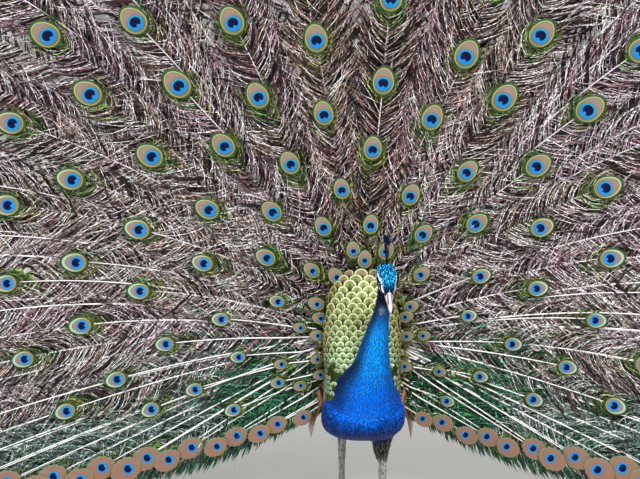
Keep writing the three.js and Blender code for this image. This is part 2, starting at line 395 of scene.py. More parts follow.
# The brow line: how far it stands from the crown's ridge, in degrees, from the bill's root back.
BROW_Y = [-33, -26, -18, -11, 0, 8, 13]
BROW_TURN = [108, 72, 54, 48, 52, 62, 68]


def head_marking(points):
    """Bead-blue crown, white brow line and bare white cheek, black line through the eye: the
    colours, and the share that is white skin."""
    x, y, z = in_head(points).T
    turn = np.degrees(np.arctan2(np.abs(x), z - EARS_Z))
    crown = mixed(ramp(y, -9, -27), "#22aef0", "#061a3c")
    crown = mixed(ramp(y, 16, 30), crown, "#1467b4")
    side = mixed(ramp(y, 8, 20), "#070d18", "#125c9c")
    brow_line = np.interp(y, BROW_Y, BROW_TURN)
    off_line = np.radians(turn - brow_line) * np.hypot(x, z - EARS_Z)
    tone = mixed(ramp(off_line, -0.5, 0.5), crown, side)
    throat = mixed(ramp(y, -14, 8), "#101f30", "#14507c")
    tone = mixed(ramp(turn, 134, 144), tone, throat)
    brow = ramp(np.abs(off_line), 2.5, 1.7) * ramp(y, -35, -33) * ramp(y, 15, 9)
    behind = ramp(y, -6, 8)
    cheek_wide = 25 - 6 * behind
    off_cheek = np.abs(turn - 113 + 15 * behind)
    cheek = ramp(off_cheek, cheek_wide, cheek_wide - 4) * ramp(y, -23, -19) * ramp(y, 17, 12)
    wedge = ramp(np.abs(x) + 0.6 * (y + 25), 0.6, -0.6) * (z > 0)
    white = np.maximum(np.maximum(brow, cheek), wedge)
    return mixed(white, tone, "#f2f0ee"), white


# Sides of the blue breast at heights above the floor, all in millimetres.
BLUE_Z = [200, 262, 300, 318, 345, 362, 398, 437]
BLUE_LEFT = [-110, -95, -66, -55, -42, -26, -12, 3]
BLUE_RIGHT = [110, 95, 78, 71, 63, 58, 52, 50]


def in_scales(places, part):
    """Whether places lie in the scaled tract, which comes down on the shoulders beside the breast."""
    x, y, z = ((places - SHIFT) * 1000).T
    beside = (x < np.interp(z, BLUE_Z, BLUE_LEFT)) | (x > np.interp(z, BLUE_Z, BLUE_RIGHT))
    on_shoulder = of_wing(part) | ((part == TRUNK) & (beside | (y > -60)))
    return (on_shoulder & (z > 296) & (y > -160) & (y < 40)) | (part == MANTLE_PART)


def marking(points, normals, part):
    """Colour of the plumage, or of bare skin, at places on the skin, with painted shade and a painted sheen
    on the neck and breast.
    """
    x, y, z = ((points - SHIFT) * 1000).T
    scaly = in_scales(points, part)
    neck = mixed(ramp(z, 300, 400), "#0278ff", "#049aff")
    neck = mixed(ramp(z, 436, 496), neck, "#07508c")
    # Painted shade: right under the head the neck is near black.
    neck = mixed(ramp(z, 484, 508), neck, "#040a10")
    # Painted shade on the neck's sides where they turn aside: navy on the left, ultramarine on the right.
    neck = mixed(ramp(normals[:, 0], -0.30, -0.85) * 0.8, neck, "#0b2350")
    neck = mixed(ramp(normals[:, 0], 0.45, 0.95) * 0.5, neck, "#0c37a0")
    # A painted greenish sheen where the neck turns toward the back.
    neck = mixed(ramp(normals[:, 1], 0.1, 0.8) * 0.6, neck, "#0f6a8c")
    patch = np.exp(-((x - 34) / 5) ** 2 - ((z - 489) / 7) ** 2) * ramp(normals[:, 1], 0.2, -0.3)
    neck = mixed(patch * 0.75, neck, "#a9b4c4")
    # Painted shade toward the breast's lower edge, which faces down, away from the lamps.
    breast = mixed(ramp(z, 292, 244), neck, "#02286a")
    # Painted shade in a fold low on the breast, and in the crease where the neck meets the shoulder.
    breast = mixed(0.55 * painted_shade_line(points, (40, 272), (4, 241), 9), breast, "#0b2a66")
    breast = mixed(0.75 * painted_shade_line(points, (-55, 318), (-14, 384), 7), breast, "#0a1f48")
    belly = mixed(ramp(z, 330, 270), "#2c3f2a", "#10181a")
    nape = mixed(ramp(y, -80, -50) * ramp(z, 360, 330), breast, belly)
    head, _ = head_marking(points)
    found = mixed(ramp(y + 0.35 * (z - 280), -62, -22), breast, belly)
    for chosen, colour in (
            (part == NECK_PART, nape),
            (scaly, shade_of("#3a4a1c")),
            (part == RUMP, mixed(ramp(z, 250, 420), "#2c2620", "#4b4230")),
            (part == VENT, mixed(ramp(y, 120, 260), "#1e1b19", "#6b6258")),
            (of_wing(part) & ~scaly, mixed(ramp(y, -90, -40), "#2c2a22", "#9a8a72")),
            (of_thigh(part), mixed(ramp(z, 180, 172), "#0c0e0f", "#aaa49c")),
            (part >= SHANK_LEFT, mixed(ramp(z, 10, 3), "#8e8c86", "#75736c")),
            (part == HEAD, mixed(ramp(in_head(points)[:, 1], 34, 22), neck, head))):
        found = np.where(chosen[:, None], colour, found)
    return found


def unwrapped(points, part):
    """Where places on the skin lie on its own unwrap. Each part is a cylinder about its long axis,
    and has one of sixteen squares of the map."""
    found = np.zeros((len(points), 2))
    for index, name in enumerate(FLESH):
        mine = part == index
        if not mine.any():
            continue
        low, high = (np.array(corner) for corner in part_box(name))
        middle, extent = (low + high) / 2, high - low
        axis = int(np.argmax(extent))
        one, two = (axis + 1) % 3, (axis + 2) % 3
        local = points[mine] - middle
        u = np.arctan2(local[:, one], local[:, two]) / (2 * math.pi) + 0.5
        v = np.clip(local[:, axis] / extent[axis] + 0.5, 0, 1)
        found[mine] = (np.array([index % 4, index // 4]) + 0.03 + 0.93 * np.stack([u, v], -1)) / 4
    return found


UNDER_COAT = 0.38              # the skin between the feathers has this share of their tone
tones = marking(points, normals, part_of)
bare = np.maximum(head_marking(points)[1] * (part_of == HEAD), part_of >= SHANK_LEFT)
# Under the head's feathers the skin is near-black blue: painted shade in the gaps between the crown's beads.
under = np.where((part_of == HEAD)[:, None], shade_of("#031a40"), tones * UNDER_COAT)
painted(skin.data, under + (tones - under) * bare[:, None], bare)



def speckled(tree, noise, low, high, darkest, brightest):
    """The piece's own tint, made darker and brighter between two values of a noise."""
    tint = add(tree, "ShaderNodeAttribute", attribute_name="tint")
    wear = add(tree, "ShaderNodeMapRange", {
        "Value": (noise, "Fac"), "From Min": low, "From Max": high, "To Min": darkest, "To Max": brightest})
    return add(tree, "ShaderNodeVectorMath", {0: (tint, "Color"), "Scale": (wear, 0)}, operation="SCALE")


# Bird skin, bare on the face and the legs: dull and a little rough, with cells about half a
# millimetre wide and pores about 1 mm apart, so that no smooth highlight lies on it.
skin_finish, tree = new_material("skin_under_feathers")
cells = add(tree, "ShaderNodeTexVoronoi", {"Scale": 900.0}, feature="DISTANCE_TO_EDGE")
pores = add(tree, "ShaderNodeTexNoise", {"Scale": 500.0, "Detail": 3.0})
worn = speckled(tree, pores, 0.3, 0.7, 0.82, 1.1)
height = add(tree, "ShaderNodeMath", {0: (cells, 0), 1: (pores, "Fac")}, operation="ADD")
relief = add(tree, "ShaderNodeBump", {"Height": (height, 0), "Strength": 0.35, "Distance": 0.0006})
surface = add(tree, "ShaderNodeBsdfPrincipled", {
    "Base Color": (worn, 0), "Roughness": 0.5, "Specular IOR Level": 0.12, "Normal": (relief, 0)})
add(tree, "ShaderNodeOutputMaterial", {"Surface": (surface, "BSDF")})
skin.data.materials.append(skin_finish)
shaded_smooth(skin.data)
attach(skin, "root")
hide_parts(*FLESH)

# The feathers are sown on the even mesh. It is thinned afterwards.
skin.data.calc_loop_triangles()
corners = np.empty(len(skin.data.loop_triangles) * 3, np.int32)
skin.data.loop_triangles.foreach_get("vertices", corners)
corners = corners.reshape(-1, 3)
sides = points[corners]
areas = np.linalg.norm(np.cross(sides[:, 1] - sides[:, 0], sides[:, 2] - sides[:, 0]), axis=1) / 2
skin_tree = BVHTree.FromPolygons([tuple(p) for p in points], [tuple(c) for c in corners.tolist()])
thinner = skin.modifiers.new("thinner", "DECIMATE")
thinner.ratio = SKIN_KEPT
bpy.context.view_layer.objects.active = skin
bpy.ops.object.modifier_apply(modifier=thinner.name)


# ---------------------------------------------------------------- small feathers of the body
# Every body feather is a thin closed vane. It is rooted in the skin, lies toward the tail along
# the body, and overlaps its neighbours. They are sown on the skin at an even spacing.
def thinned(found, gap):
    """Indices of places no two of which are nearer than the gap."""
    cell = gap / 1.74
    keys = np.floor(found / cell).astype(np.int64) + 4000
    codes = (keys[:, 0] << 30) + (keys[:, 1] << 15) + keys[:, 2]
    order, first = np.unique(codes, return_index=True)
    alive = np.ones(len(first), bool)
    reach = range(-2, 3)
    for dx in reach:
        for dy in reach:
            for dz in reach:
                shift = (dx << 30) + (dy << 15) + dz
                if shift <= 0:
                    continue
                at = np.minimum(np.searchsorted(order, order + shift), len(order) - 1)
                near = (order[at] == order + shift) & alive & alive[at]
                near &= np.linalg.norm(found[first] - found[first[at]], axis=1) < gap
                alive[np.where(near & (first > first[at]))[0]] = False
                alive[at[near & (first < first[at])]] = False
    return first[alive]


def sown(chosen, gap):
    """Evenly spaced places on the skin among chosen vertices: places, outward normals, parts."""
    usable = np.where(chosen[corners].all(1))[0]
    weight = areas[usable]
    count = int(weight.sum() / gap ** 2 * 5)
    pick = usable[draw.choice(len(usable), count, p=weight / weight.sum())]
    mix = draw.dirichlet((1, 1, 1), count)[:, :, None]
    found = (points[corners[pick]] * mix).sum(1)
    keep = thinned(found, gap)
    out = unit((normals[corners[pick[keep]]] * mix[keep]).sum(1))
    return found[keep], out, part_of[corners[pick[keep], 0]]


def lie(places, out, part):
    """Direction in which the feathers lie at places on the skin."""
    count = len(places)
    side = np.sign(places[:, :1])
    way = np.tile([0.0, 0.8, -0.6], (count, 1))
    _, up_neck = on_curve(NECK, along_curve(NECK, places))
    down = -up_neck + np.array([0, 0.25, 0])
    blend = ramp(places[:, 2], 0.31, 0.36)[:, None]
    way = np.where((part == NECK_PART)[:, None], down * blend + way * (1 - blend), way)
    back = np.array([0, 1, -0.1]) @ np.array(HEAD_TURN).T
    wing = np.concatenate([0.12 * side, np.full((count, 1), 0.78), np.full((count, 1), -0.6)], 1)
    for chosen, lying in (
            (part == HEAD, back), (part == MANTLE_PART, (0, 0.15, 1)), (part == RUMP, (0, 0.6, -0.8)),
            (part == VENT, (0, 0.75, -0.65)), (of_wing(part), wing), (part >= THIGH_LEFT, (0, 0.1, -1))):
        way = np.where(chosen[:, None], lying, way)
    return unit(way - dot(way, out)[:, None] * out)


ROOTED = 0.0005                # how deep in the skin a feather starts


def laid(places, out, ways, length, stations, lift):
    """Lines of feathers that start in the skin and follow it for their length."""
    lines = np.zeros((len(places), stations, 3))
    lines[:, 0] = places - out * ROOTED
    at, facing, way = places, out, ways
    for k in range(1, stations):
        stepped = at + way * (length / (stations - 1))[:, None]
        near = [skin_tree.find_nearest(Vector(p)) for p in stepped]
        at = np.array([n[0] for n in near])
        new_facing = np.array([n[1] for n in near])
        facing = unit(facing * 0.6 + new_facing * 0.4)
        way = unit(way - dot(way, facing)[:, None] * facing)
        lines[:, k] = at + facing * (lift * (k / (stations - 1)) ** 1.3)[:, None]
    return lines


def vanes(lines, side, half, thick):
    """Closed thin vanes along lines, pointed at both ends: their points and triangles.
    side: one direction across each vane, half: half-widths at the stations between the ends."""
    count, stations = lines.shape[0], lines.shape[1]
    run = unit(np.gradient(lines, axis=1)[:, 1:-1])
    across = unit(side[:, None] - dot(side[:, None], run)[..., None] * run)
    facing = np.cross(across, run)
    body = lines[:, 1:-1]
    half = half[..., None]
    ring = np.stack([
        body - across * half, body + facing * thick, body + across * half, body - facing * thick * 0.5], 2)
    points = np.concatenate([lines[:, :1], ring.reshape(count, -1, 3), lines[:, -1:]], 1)
    faces = [(0, 1 + a, 1 + (a + 1) % 4) for a in range(4)]
    for k in range(stations - 3):
        low, high = 1 + 4 * k, 5 + 4 * k
        for a in range(4):
            b = (a + 1) % 4
            faces += [(low + a, high + a, low + b), (low + b, high + a, high + b)]
    last, tip = 1 + 4 * (stations - 3), 1 + 4 * (stations - 2)
    faces += [(last + a, tip, last + (a + 1) % 4) for a in range(4)]
    faces = np.array(faces)[None] + (np.arange(count) * (tip + 1))[:, None, None]
    return points, faces.reshape(-1, 3)


def joined_mesh(name, points, faces, tint, bake, extra=None):
    """One object from arrays: points, triangles, a colour and a bake UV for each point."""
    mesh = bpy.data.meshes.new(name)
    mesh.vertices.add(len(points))
    mesh.vertices.foreach_set("co", np.ascontiguousarray(points, np.float32).ravel())
    mesh.loops.add(faces.size)
    mesh.loops.foreach_set("vertex_index", np.ascontiguousarray(faces, np.int32).ravel())
    mesh.polygons.add(len(faces))
    mesh.polygons.foreach_set("loop_start", np.arange(0, faces.size, 3, dtype=np.int32))
    mesh.update(calc_edges=True)
    painted(mesh, tint)
    for title, values in {"OFBake": bake, **(extra or {})}.items():
        layer = mesh.uv_layers.new(name=title)
        layer.data.foreach_set("uv", np.ascontiguousarray(values[faces.ravel()], np.float32).ravel())
    piece = bpy.data.objects.new(name, mesh)
    bpy.context.collection.objects.link(piece)
    return piece


BAKE_PATCH = 0.003             # share of the map's width that one feather takes


def fledged(name, lines, out, half, thick, tint, bake_at, finish):
    """One coat piece of vanes. tint: a colour for each station of each vane."""
    side = unit(np.cross(lines[:, -1] - lines[:, 0], out))
    made, faces = vanes(lines, side, half, thick)
    count, stations = lines.shape[:2]
    spread = np.concatenate([[0], np.repeat(np.arange(1, stations - 1), 4), [stations - 1]])
    each_tint = tint[:, spread]
    edge = np.concatenate([[0.5], np.tile([0, 0.5, 1, 0.5], stations - 2), [0.5]])
    patch = np.stack([edge, spread / (stations - 1)], -1) * BAKE_PATCH
    bake = bake_at[:, None] + patch[None]
    piece = joined_mesh(name, made.reshape(-1, 3), faces, each_tint.reshape(-1, 3), bake.reshape(-1, 2))
    piece.data.materials.append(finish)
    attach(piece, "root")
    return piece


def plumage(name, metallic, roughness, sheen=0.0, grain=0.3, gloss=0.5):
    """Finish of a feather tract. Barbs a fraction of a millimetre apart break its tint into light
    and dark, so that it looks woven. The highlight has the feather's own colour."""
    finish, tree = new_material(name)
    barbs = add(tree, "ShaderNodeTexNoise", {"Scale": 1400.0, "Detail": 2.0})
    worn = speckled(tree, barbs, 0.3, 0.7, 0.75, 1.25)
    relief = add(tree, "ShaderNodeBump", {"Height": (barbs, "Fac"), "Strength": grain, "Distance": 0.0004})
    surface = add(tree, "ShaderNodeBsdfPrincipled", {
        "Base Color": (worn, 0), "Roughness": roughness, "Metallic": metallic, "Specular IOR Level": gloss,
        "Specular Tint": (worn, 0), "Sheen Weight": sheen, "Sheen Roughness": 0.4, "Normal": (relief, 0)})
    add(tree, "ShaderNodeOutputMaterial", {"Surface": (surface, "BSDF")})
    return finish


def coat(name, chosen, gap, long, wide, finish, lift=0.0006, stations=4, thick=0.0003,
         vary=0.24, spread=0.12, fade=(0.45, 0.95, 1.25)):
    """Sows and lays one tract of feathers with the skin's own marking. vary: how far their tones
    differ, spread: how far they lie askew, fade: their tone at the root, the middle and the tip."""
    places, out, part = sown(chosen, gap)
    ways = lie(places, out, part)
    turned = np.cross(out, ways)
    wander = draw.normal(0, spread, (len(places), 1))
    ways = unit(ways + turned * wander)
    length = long * draw.uniform(0.8, 1.15, len(places))
    raised = np.full(len(places), lift) * draw.uniform(0.5, 1.6, len(places))
    lines = laid(places, out, ways, length, stations, raised)
    tone = marking(places, out, part) * draw.uniform(1 - vary, 1 + vary, (len(places), 1))
    steps = np.linspace(0, 1, stations)
    share = {3: [1.0], 4: [0.75, 1.0], 5: [0.7, 1.0, 0.9]}[stations]
    half = wide / 2 * np.array(share)[None] * draw.uniform(0.85, 1.15, (len(places), 1))
    tint = tone[:, None] * np.interp(steps, [0, 0.5, 1], fade)[None, :, None]
    return fledged(name, lines, out, half, thick, tint, unwrapped(places, part), finish)


# The blue is no pigment. It comes from the fine structure of the barbules, so the finish is a
# little metallic and its highlights are blue too.
blue_finish = plumage("structural_blue_plumage", metallic=0.12, roughness=0.48, gloss=0.6)
z_of = (points - SHIFT)[:, 2]
y_of = (points - SHIFT)[:, 1]
head_y = in_head(points)[:, 1]
white_skin = head_marking(points)[1] * (part_of == HEAD) > 0.5
is_eye = from_eye < 6.2
on_head = (part_of == HEAD) & ~white_skin & ~(is_eye & (across > 9))
is_crown = np.degrees(np.arctan2(across, local[:, 2] - EARS_Z)) < np.interp(head_y, BROW_Y, BROW_TURN) - 3
beaded = on_head & (head_y > -29) & (head_y < 27) & is_crown
# The crown's beads run from near black at the root to nearly three times their tone at the tip: painted shade
# between the beads and a painted highlight on each tip.
coat("coat_crown_beads", beaded, 0.0024, 0.0044, 0.0033, blue_finish, lift=0.0010,
     thick=0.0006, vary=0.68, spread=0.25, fade=(0.02, 0.7, 2.8))
coat("coat_head", on_head & ~beaded, 0.0023, 0.0040, 0.0022, blue_finish, lift=0.0004)

# The white down of the face is matt and soft, and lies so close that it looks like bare skin.
white_finish = plumage("white_face_plumage", metallic=0.0, roughness=0.6, sheen=0.1)
on_lines = (part_of == HEAD) & white_skin & (head_y > -33) & (across > 4.5)
coat("coat_face_lines", on_lines, 0.0017, 0.0034, 0.0018, white_finish, lift=0.0003,
     vary=0.06, fade=(0.8, 1.0, 1.05))
BRIGHT = (0.7, 1.15, 1.4)
on_neck = part_of == NECK_PART
coat("coat_neck_upper", on_neck & (z_of > 0.44), 0.0021, 0.0062, 0.0021, blue_finish,
     lift=0.0004, stations=3, fade=BRIGHT)
coat("coat_neck_lower", on_neck & (z_of <= 0.442), 0.0028, 0.0085, 0.0027, blue_finish,
     lift=0.0004, stations=3, fade=BRIGHT)
scaly = in_scales(points, part_of)
on_breast = (part_of == TRUNK) & (y_of < -0.03) & ~scaly
coat("coat_breast", on_breast, 0.0034, 0.0100, 0.0036, blue_finish, lift=0.0005,
     fade=(0.85, 1.3, 1.6))

# The loose dark feathers under the body are downy: no clear highlight, but a pale bloom at the edge.
dark_finish = plumage("soft_dark_plumage", metallic=0.1, roughness=0.6, sheen=0.3)
on_belly = (part_of == TRUNK) & (y_of >= -0.034) & ~scaly
coat("coat_belly", on_belly, 0.0060, 0.0170, 0.0070, dark_finish, lift=0.0012)
coat("coat_thighs", of_thigh(part_of), 0.0042, 0.0130, 0.0040, dark_finish, lift=0.0012)


# ---------------------------------------------------------------- scaled mantle
# The upper back carries round, stiff feathers in staggered rows, tips upward: pale gold-green
# with a dark shaft mark and a paler rim, smaller and bluer toward the neck.
SCALE_SPOKES = 14
SCALE_RINGS = (0.40, 0.70, 0.79, 0.89, 1.0)
scale_turn = np.arange(SCALE_SPOKES) * 2 * math.pi / SCALE_SPOKES


def disc_faces(spokes, rings):
    """Triangles of a closed thin disc: its front rings, then its back rim and middle."""
    faces = []
    for i in range(spokes):
        j = (i + 1) % spokes
        faces.append((0, 1 + i, 1 + j))
        for k in range(rings - 1):
            low, high = 1 + k * spokes, 1 + (k + 1) * spokes
            faces += [(low + i, high + i, high + j), (low + i, high + j, low + j)]
        rim, back = 1 + (rings - 1) * spokes, 1 + rings * spokes
        faces += [(rim + i, back + i, back + j), (rim + i, back + j, rim + j)]
        faces.append((back + i, back + spokes, back + j))
    return np.array(faces)


scale_table = disc_faces(SCALE_SPOKES, len(SCALE_RINGS))

# Stiff and smooth-faced, so each scale has a highlight of its own, gold or green like the scale.
scale_finish = plumage("gold_green_scale_plumage", metallic=0.2, roughness=0.42, grain=0.25)


def round_feathers(name, centre, facing, along, half, stretch, lean, rim, body, mark, bake_at):
    """One piece of stiff round feathers: a pale rim, a darker middle and a shaft mark, with painted shadow
    round the edge and on the lower part, where the scale below casts it.
    """
    count = len(centre)
    across = np.cross(along, facing)
    roll = draw.normal(0, 0.12, (count, 1))
    along, across = unit(along + across * roll), unit(across - along * roll)
    radial = np.concatenate([[0], np.repeat(SCALE_RINGS, SCALE_SPOKES), np.full(SCALE_SPOKES, 1.0), [0]])
    angle = np.concatenate([[0], np.tile(scale_turn, len(SCALE_RINGS) + 1), [0]])
    flat_u = radial * np.cos(angle)                    # toward the tip
    flat_v = radial * np.sin(angle)
    height = 0.02 * (1 - radial ** 2) - 0.04 * flat_v ** 2
    height[-SCALE_SPOKES - 1:] -= 0.05
    reach = np.where(flat_u < 0, 1.25, 1.0) * flat_u * stretch
    tipped = along * np.cos(lean)[:, None] + facing * np.sin(lean)[:, None]
    made = centre[:, None] + half[:, None, None] * (
        reach[None, :, None] * tipped[:, None] + flat_v[None, :, None] * across[:, None]
        + height[None, :, None] * facing[:, None])
    pale = np.interp(radial, [0.70, 0.79, 0.89, 1.0], [0.0, 1.0, 1.0, 0.0]) * ramp(flat_u, -0.35, 0.1)
    in_mark = np.exp(-(flat_v / 0.16) ** 2) * ramp(flat_u, 0.7, 0.4) * (radial < 0.7)
    # Painted shadow: a dark line round each scale's edge, and dark on its lower part, just above the rim of
    # the scale below.
    in_shadow = np.maximum(0.95 * ramp(flat_u, 0.0, -0.4), 0.95 * (radial > 0.97))
    tone = body[:, None] + (rim - body)[:, None] * pale[None, :, None]
    tone = tone + (mark[:, None] - tone) * (0.8 * in_mark)[None, :, None]
    tone = tone + (shade_of("#1f290c") - tone) * (0.92 * in_shadow)[None, :, None]
    tone = tone * draw.uniform(0.78, 1.1, (count, 1, 1))
    back = np.arange(len(radial)) > len(radial) - SCALE_SPOKES - 2
    tone[:, back] = tone[:, back] * 0.5
    bake = bake_at[:, None] + 0.0015 * np.stack([flat_v, flat_u], -1)[None]
    faces = (scale_table[None] + (np.arange(count) * len(radial))[:, None, None]).reshape(-1, 3)
    piece = joined_mesh(name, made.reshape(-1, 3), faces, tone.reshape(-1, 3), bake.reshape(-1, 2))
    piece.data.materials.append(scale_finish)
    shaded_smooth(piece.data)
    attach(piece, "root")


scale_parts = []
MANTLE_LENGTH = 0.268
RAYS = np.linspace(-2.05, 2.05, 83)
RAY_REACH = 0.22
LONGEST_STEP = 0.012           # the row leaps no wider than this where it crosses a fold
height = 0.034
row = 0
while height < MANTLE_LENGTH + 0.004:
    share = min(height / MANTLE_LENGTH, 1.0)
    spot, up = on_curve(MANTLE, np.array([share]))
    spot, up = spot[0] + up[0] * max(0, height - MANTLE_LENGTH), up[0]
    wide = 0.0112 + 0.0162 * share
    ahead = unit(np.array([0, -1, 0]) - up * -up[1])
    right = np.cross(up, ahead)

    def skin_toward(turn):
        ray = Vector(ahead * math.cos(turn) + right * math.sin(turn))
        hit, facing, face, _ = skin_tree.ray_cast(Vector(spot), ray, RAY_REACH)
        return hit, None if hit is None else facing * (1 if facing.dot(ray) > 0 else -1), face

    edge = np.array([skin_toward(turn)[0] or (np.nan,) * 3 for turn in RAYS], float)
    steps = np.nan_to_num(np.linalg.norm(np.diff(edge, axis=0), axis=1), nan=0.004)
    run = np.concatenate([[0], np.cumsum(np.minimum(steps, LONGEST_STEP))])
    run -= run[len(RAYS) // 2]
    gap = 0.97 * wide
    for place in np.arange(-60, 61) * gap + (gap / 2 if row % 2 else 0):
        if not run[0] < place < run[-1]:
            continue
        turn = float(np.interp(place + draw.normal(0, 0.06) * wide, run, RAYS))
        hit, facing, face = skin_toward(turn)
        if hit is None or not in_scales(np.array([hit]), part_of[corners[face, :1]])[0]:
            continue
        scale_wide = wide * draw.uniform(0.92, 1.14)
        scale_parts.append((np.array(hit), np.array(facing), up, scale_wide, share, turn))
    height += 0.0060 + 0.0082 * share
    row += 1
places, facing, up, wide, share, turn = (np.array(column) for column in zip(*scale_parts))
along = unit(up - dot(up, facing)[:, None] * facing)
rim = mixed(ramp(share, 0.15, 0.6), "#d6eec4", "#d3daa6")
body = mixed(ramp(share, 0.05, 0.55), "#98ba8c", "#838f5a")
golden = ramp(np.abs(turn), 0.9, 1.5) * (1 - 0.5 * share)
rim = mixed(golden * 0.8, rim, "#c6b468")
body = mixed(golden * 0.85, body, "#86652a")
bronze = ramp(share, 0.84, 0.97)
body = mixed(bronze * 0.6, body, "#a08070")
mark = mixed(bronze, np.tile(shade_of("#45522a"), (len(places), 1)), "#9a7468")
round_feathers(
    "mantle_scales", places + facing * (wide * 0.10 + 0.0005)[:, None], facing, along, wide / 2,
    stretch=0.9, lean=0.13 + 0.06 * share, rim=rim, body=body, mark=mark,
    bake_at=unwrapped(places, np.full(len(places), MANTLE_PART)))
on_shoulders = scaly & (part_of != MANTLE_PART)
coat("coat_shoulder", on_shoulders, 0.0046, 0.0120, 0.0070, scale_finish, lift=0.0005,
     fade=(0.9, 1.9, 2.6))


# ---------------------------------------------------------------- wings
# The folded wings hang half open under the fan. Small buff feathers barred with black cover the
# arm, longer ones cover the trailing side, and the flight feathers at the tip are plain chestnut.

# Matt and dry, with next to no highlight, as loose-barbed feathers are.
wing_finish = plumage("barred_wing_plumage", metallic=0.0, roughness=0.6, sheen=0.1)


def barred(name, chosen, gap, long, wide, stations, light, dark, lift):
    """Tract of feathers crossed by dark bars, one at every second station."""
    places, out, part = sown(chosen, gap)
    ways = lie(places, out, part)
    length = long * draw.uniform(0.85, 1.15, len(places))
    lines = laid(places, out, ways, length, stations, np.full(len(places), lift))
    steps = np.linspace(0, 1, stations)
    half = wide / 2 * np.interp(steps[1:-1], [0, 0.3, 0.85, 1], [0.5, 1.0, 1.0, 0.6])[None]
    half = half * draw.uniform(0.9, 1.1, (len(places), 1))
    stripe = np.arange(stations) % 2
    base = mixed(ramp(places[:, 1] - body_shift.y, -0.095, -0.045), "#4a4030", light)
    tint = base[:, None] + (shade_of(dark) - base[:, None]) * (0.85 * stripe)[None, :, None]
    tint = tint * draw.uniform(0.85, 1.15, (len(places), 1, 1))
    return fledged(name, lines, out, half, 0.0004, tint, unwrapped(places, part), wing_finish)


on_wing = of_wing(part_of) & ~scaly
barred("wing_coverts", on_wing, 0.0085, 0.023, 0.014, 7, "#c2ae8a", "#2a241e", 0.0012)
trailing = on_wing & (y_of > -0.02)
barred("wing_secondaries", trailing, 0.019, 0.075, 0.021, 14, "#b9a684", "#2f2820", 0.0022)


def quills(name, starts, ends, bow, width, stations, light, dark, bars, replaced, finish, out):
    """Long flight or tail feathers between two rows of points, each with a pale shaft."""
    steps = np.linspace(0, 1, stations)
    lines = starts[:, None] + (ends - starts)[:, None] * steps[None, :, None]
    lines = lines + bow[:, None] * (4 * steps * (1 - steps))[None, :, None]
    shape = np.interp(steps[1:-1], [0, 0.12, 0.5, 0.9, 1], [0.25, 0.7, 1, 0.9, 0.5])
    half = np.full(len(starts), width)[:, None] / 2 * shape[None]
    stripe = 0.5 + 0.5 * np.sin(np.arange(stations) * 2.6) if bars else np.zeros(stations)
    tint = shade_of(light) + (shade_of(dark) - shade_of(light)) * (0.8 * stripe)[None, :, None]
    tint = tint * draw.uniform(0.85, 1.15, (len(starts), 1, 1)) * np.ones((1, stations, 1))
    bake_at = np.stack([np.linspace(0.03, 0.97, len(starts)), np.full(len(starts), 0.5)], -1)
    vane = fledged(name, lines, out, half, 0.0007, tint, bake_at, finish)
    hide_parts(replaced)
    front = unit(out)[:, None] * 0.0009
    shaft_tint = np.tile(shade_of("#b9ad98"), (len(starts), stations, 1))
    fledged(name + "_shafts", lines + front, out, np.full(half.shape, 0.0009), 0.0008, shaft_tint, bake_at,
            finish)


# Flight feathers are brown with pigment all through: plain, dry and even along their length.
FLIGHT_FEATHERS = 9
WING_ROOT = (0.079, 0.030, 0.262)
chestnut_finish = plumage("chestnut_flight_feather", metallic=0.0, roughness=0.55, sheen=0.1)
for side, word in ((1, "left"), (-1, "right")):
    low, high = (np.array(c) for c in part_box("primaries_" + word))
    fan = np.linspace(0, 1, FLIGHT_FEATHERS)
    root = np.array(WING_ROOT) * (side, 1, 1) + SHIFT
    starts = root + np.stack([side * 0.0006 * (fan - 0.5) * 9, 0.022 * fan, 0.012 * fan], -1)
    length = 0.168 - 0.055 * np.abs(fan - 0.35)
    swing = np.radians(50 - 30 * fan)
    ends = starts + length[:, None] * np.stack([
        np.full(FLIGHT_FEATHERS, side * 0.17), np.cos(swing) * 0.95, -np.sin(swing) * 0.95], -1)
    ends = np.clip(ends, low + 0.001, high - 0.001)
    out = np.tile([float(side), 0.1, 0.15], (FLIGHT_FEATHERS, 1))
    quills("primaries_fan_" + word, starts, ends, bow=out * 0.003, width=0.021, stations=9,
           light="#9a5a34", dark="#7d4526", bars=False, replaced="primaries_" + word,
           finish=chestnut_finish, out=out)


# ---------------------------------------------------------------- rump, vent and tail
# Behind the fan the rump is covered by short dark bronze feathers. Twenty stiff grey-brown
# feathers fan out to prop the train, and loose dark down fills the vent.
coat("coat_rump", part_of == RUMP, 0.0078, 0.0230, 0.0110, dark_finish, lift=0.0020,
     stations=5, thick=0.0004, vary=0.35)
coat("coat_vent", part_of == VENT, 0.0046, 0.0260, 0.0030, dark_finish, lift=0.0065,
     thick=0.0004, vary=0.4, spread=0.5)
TAIL_FEATHERS = 20
TAIL_LENGTH = 0.345
tail_angles = np.radians(np.linspace(-68, 68, TAIL_FEATHERS))
tail_plane = fan_plane_y + 0.017
ROOT_Z = 0.360                 # height of the middle of the fan's root


def tail_place(angle, s):
    """Point of the tail at an angle in radians and a distance out from its root."""
    return np.stack([
        0.060 * np.sin(angle) + s * np.sin(angle), np.full(len(angle), tail_plane),
        ROOT_Z + 0.10 * np.cos(angle) + s * np.cos(angle)], -1)


starts = tail_place(tail_angles, 0.0)
ends = tail_place(tail_angles, TAIL_LENGTH)
stagger = 0.0011 * (np.arange(TAIL_FEATHERS) % 2)[:, None] * np.array([0, 1, 0])

# Stiff and dull, worn against the train: no gloss that would part them from it.
stiff_finish = plumage("stiff_tail_feather", metallic=0.0, roughness=0.6)
quills("tail_feathers", starts + stagger, ends + stagger, bow=np.tile([0, -0.004, 0.0], (TAIL_FEATHERS, 1)),
       width=0.060, stations=12, light="#7a6b5a", dark="#4c4036", bars=True, replaced="tail",
       finish=stiff_finish, out=np.tile([0, 1.0, 0], (TAIL_FEATHERS, 1)))


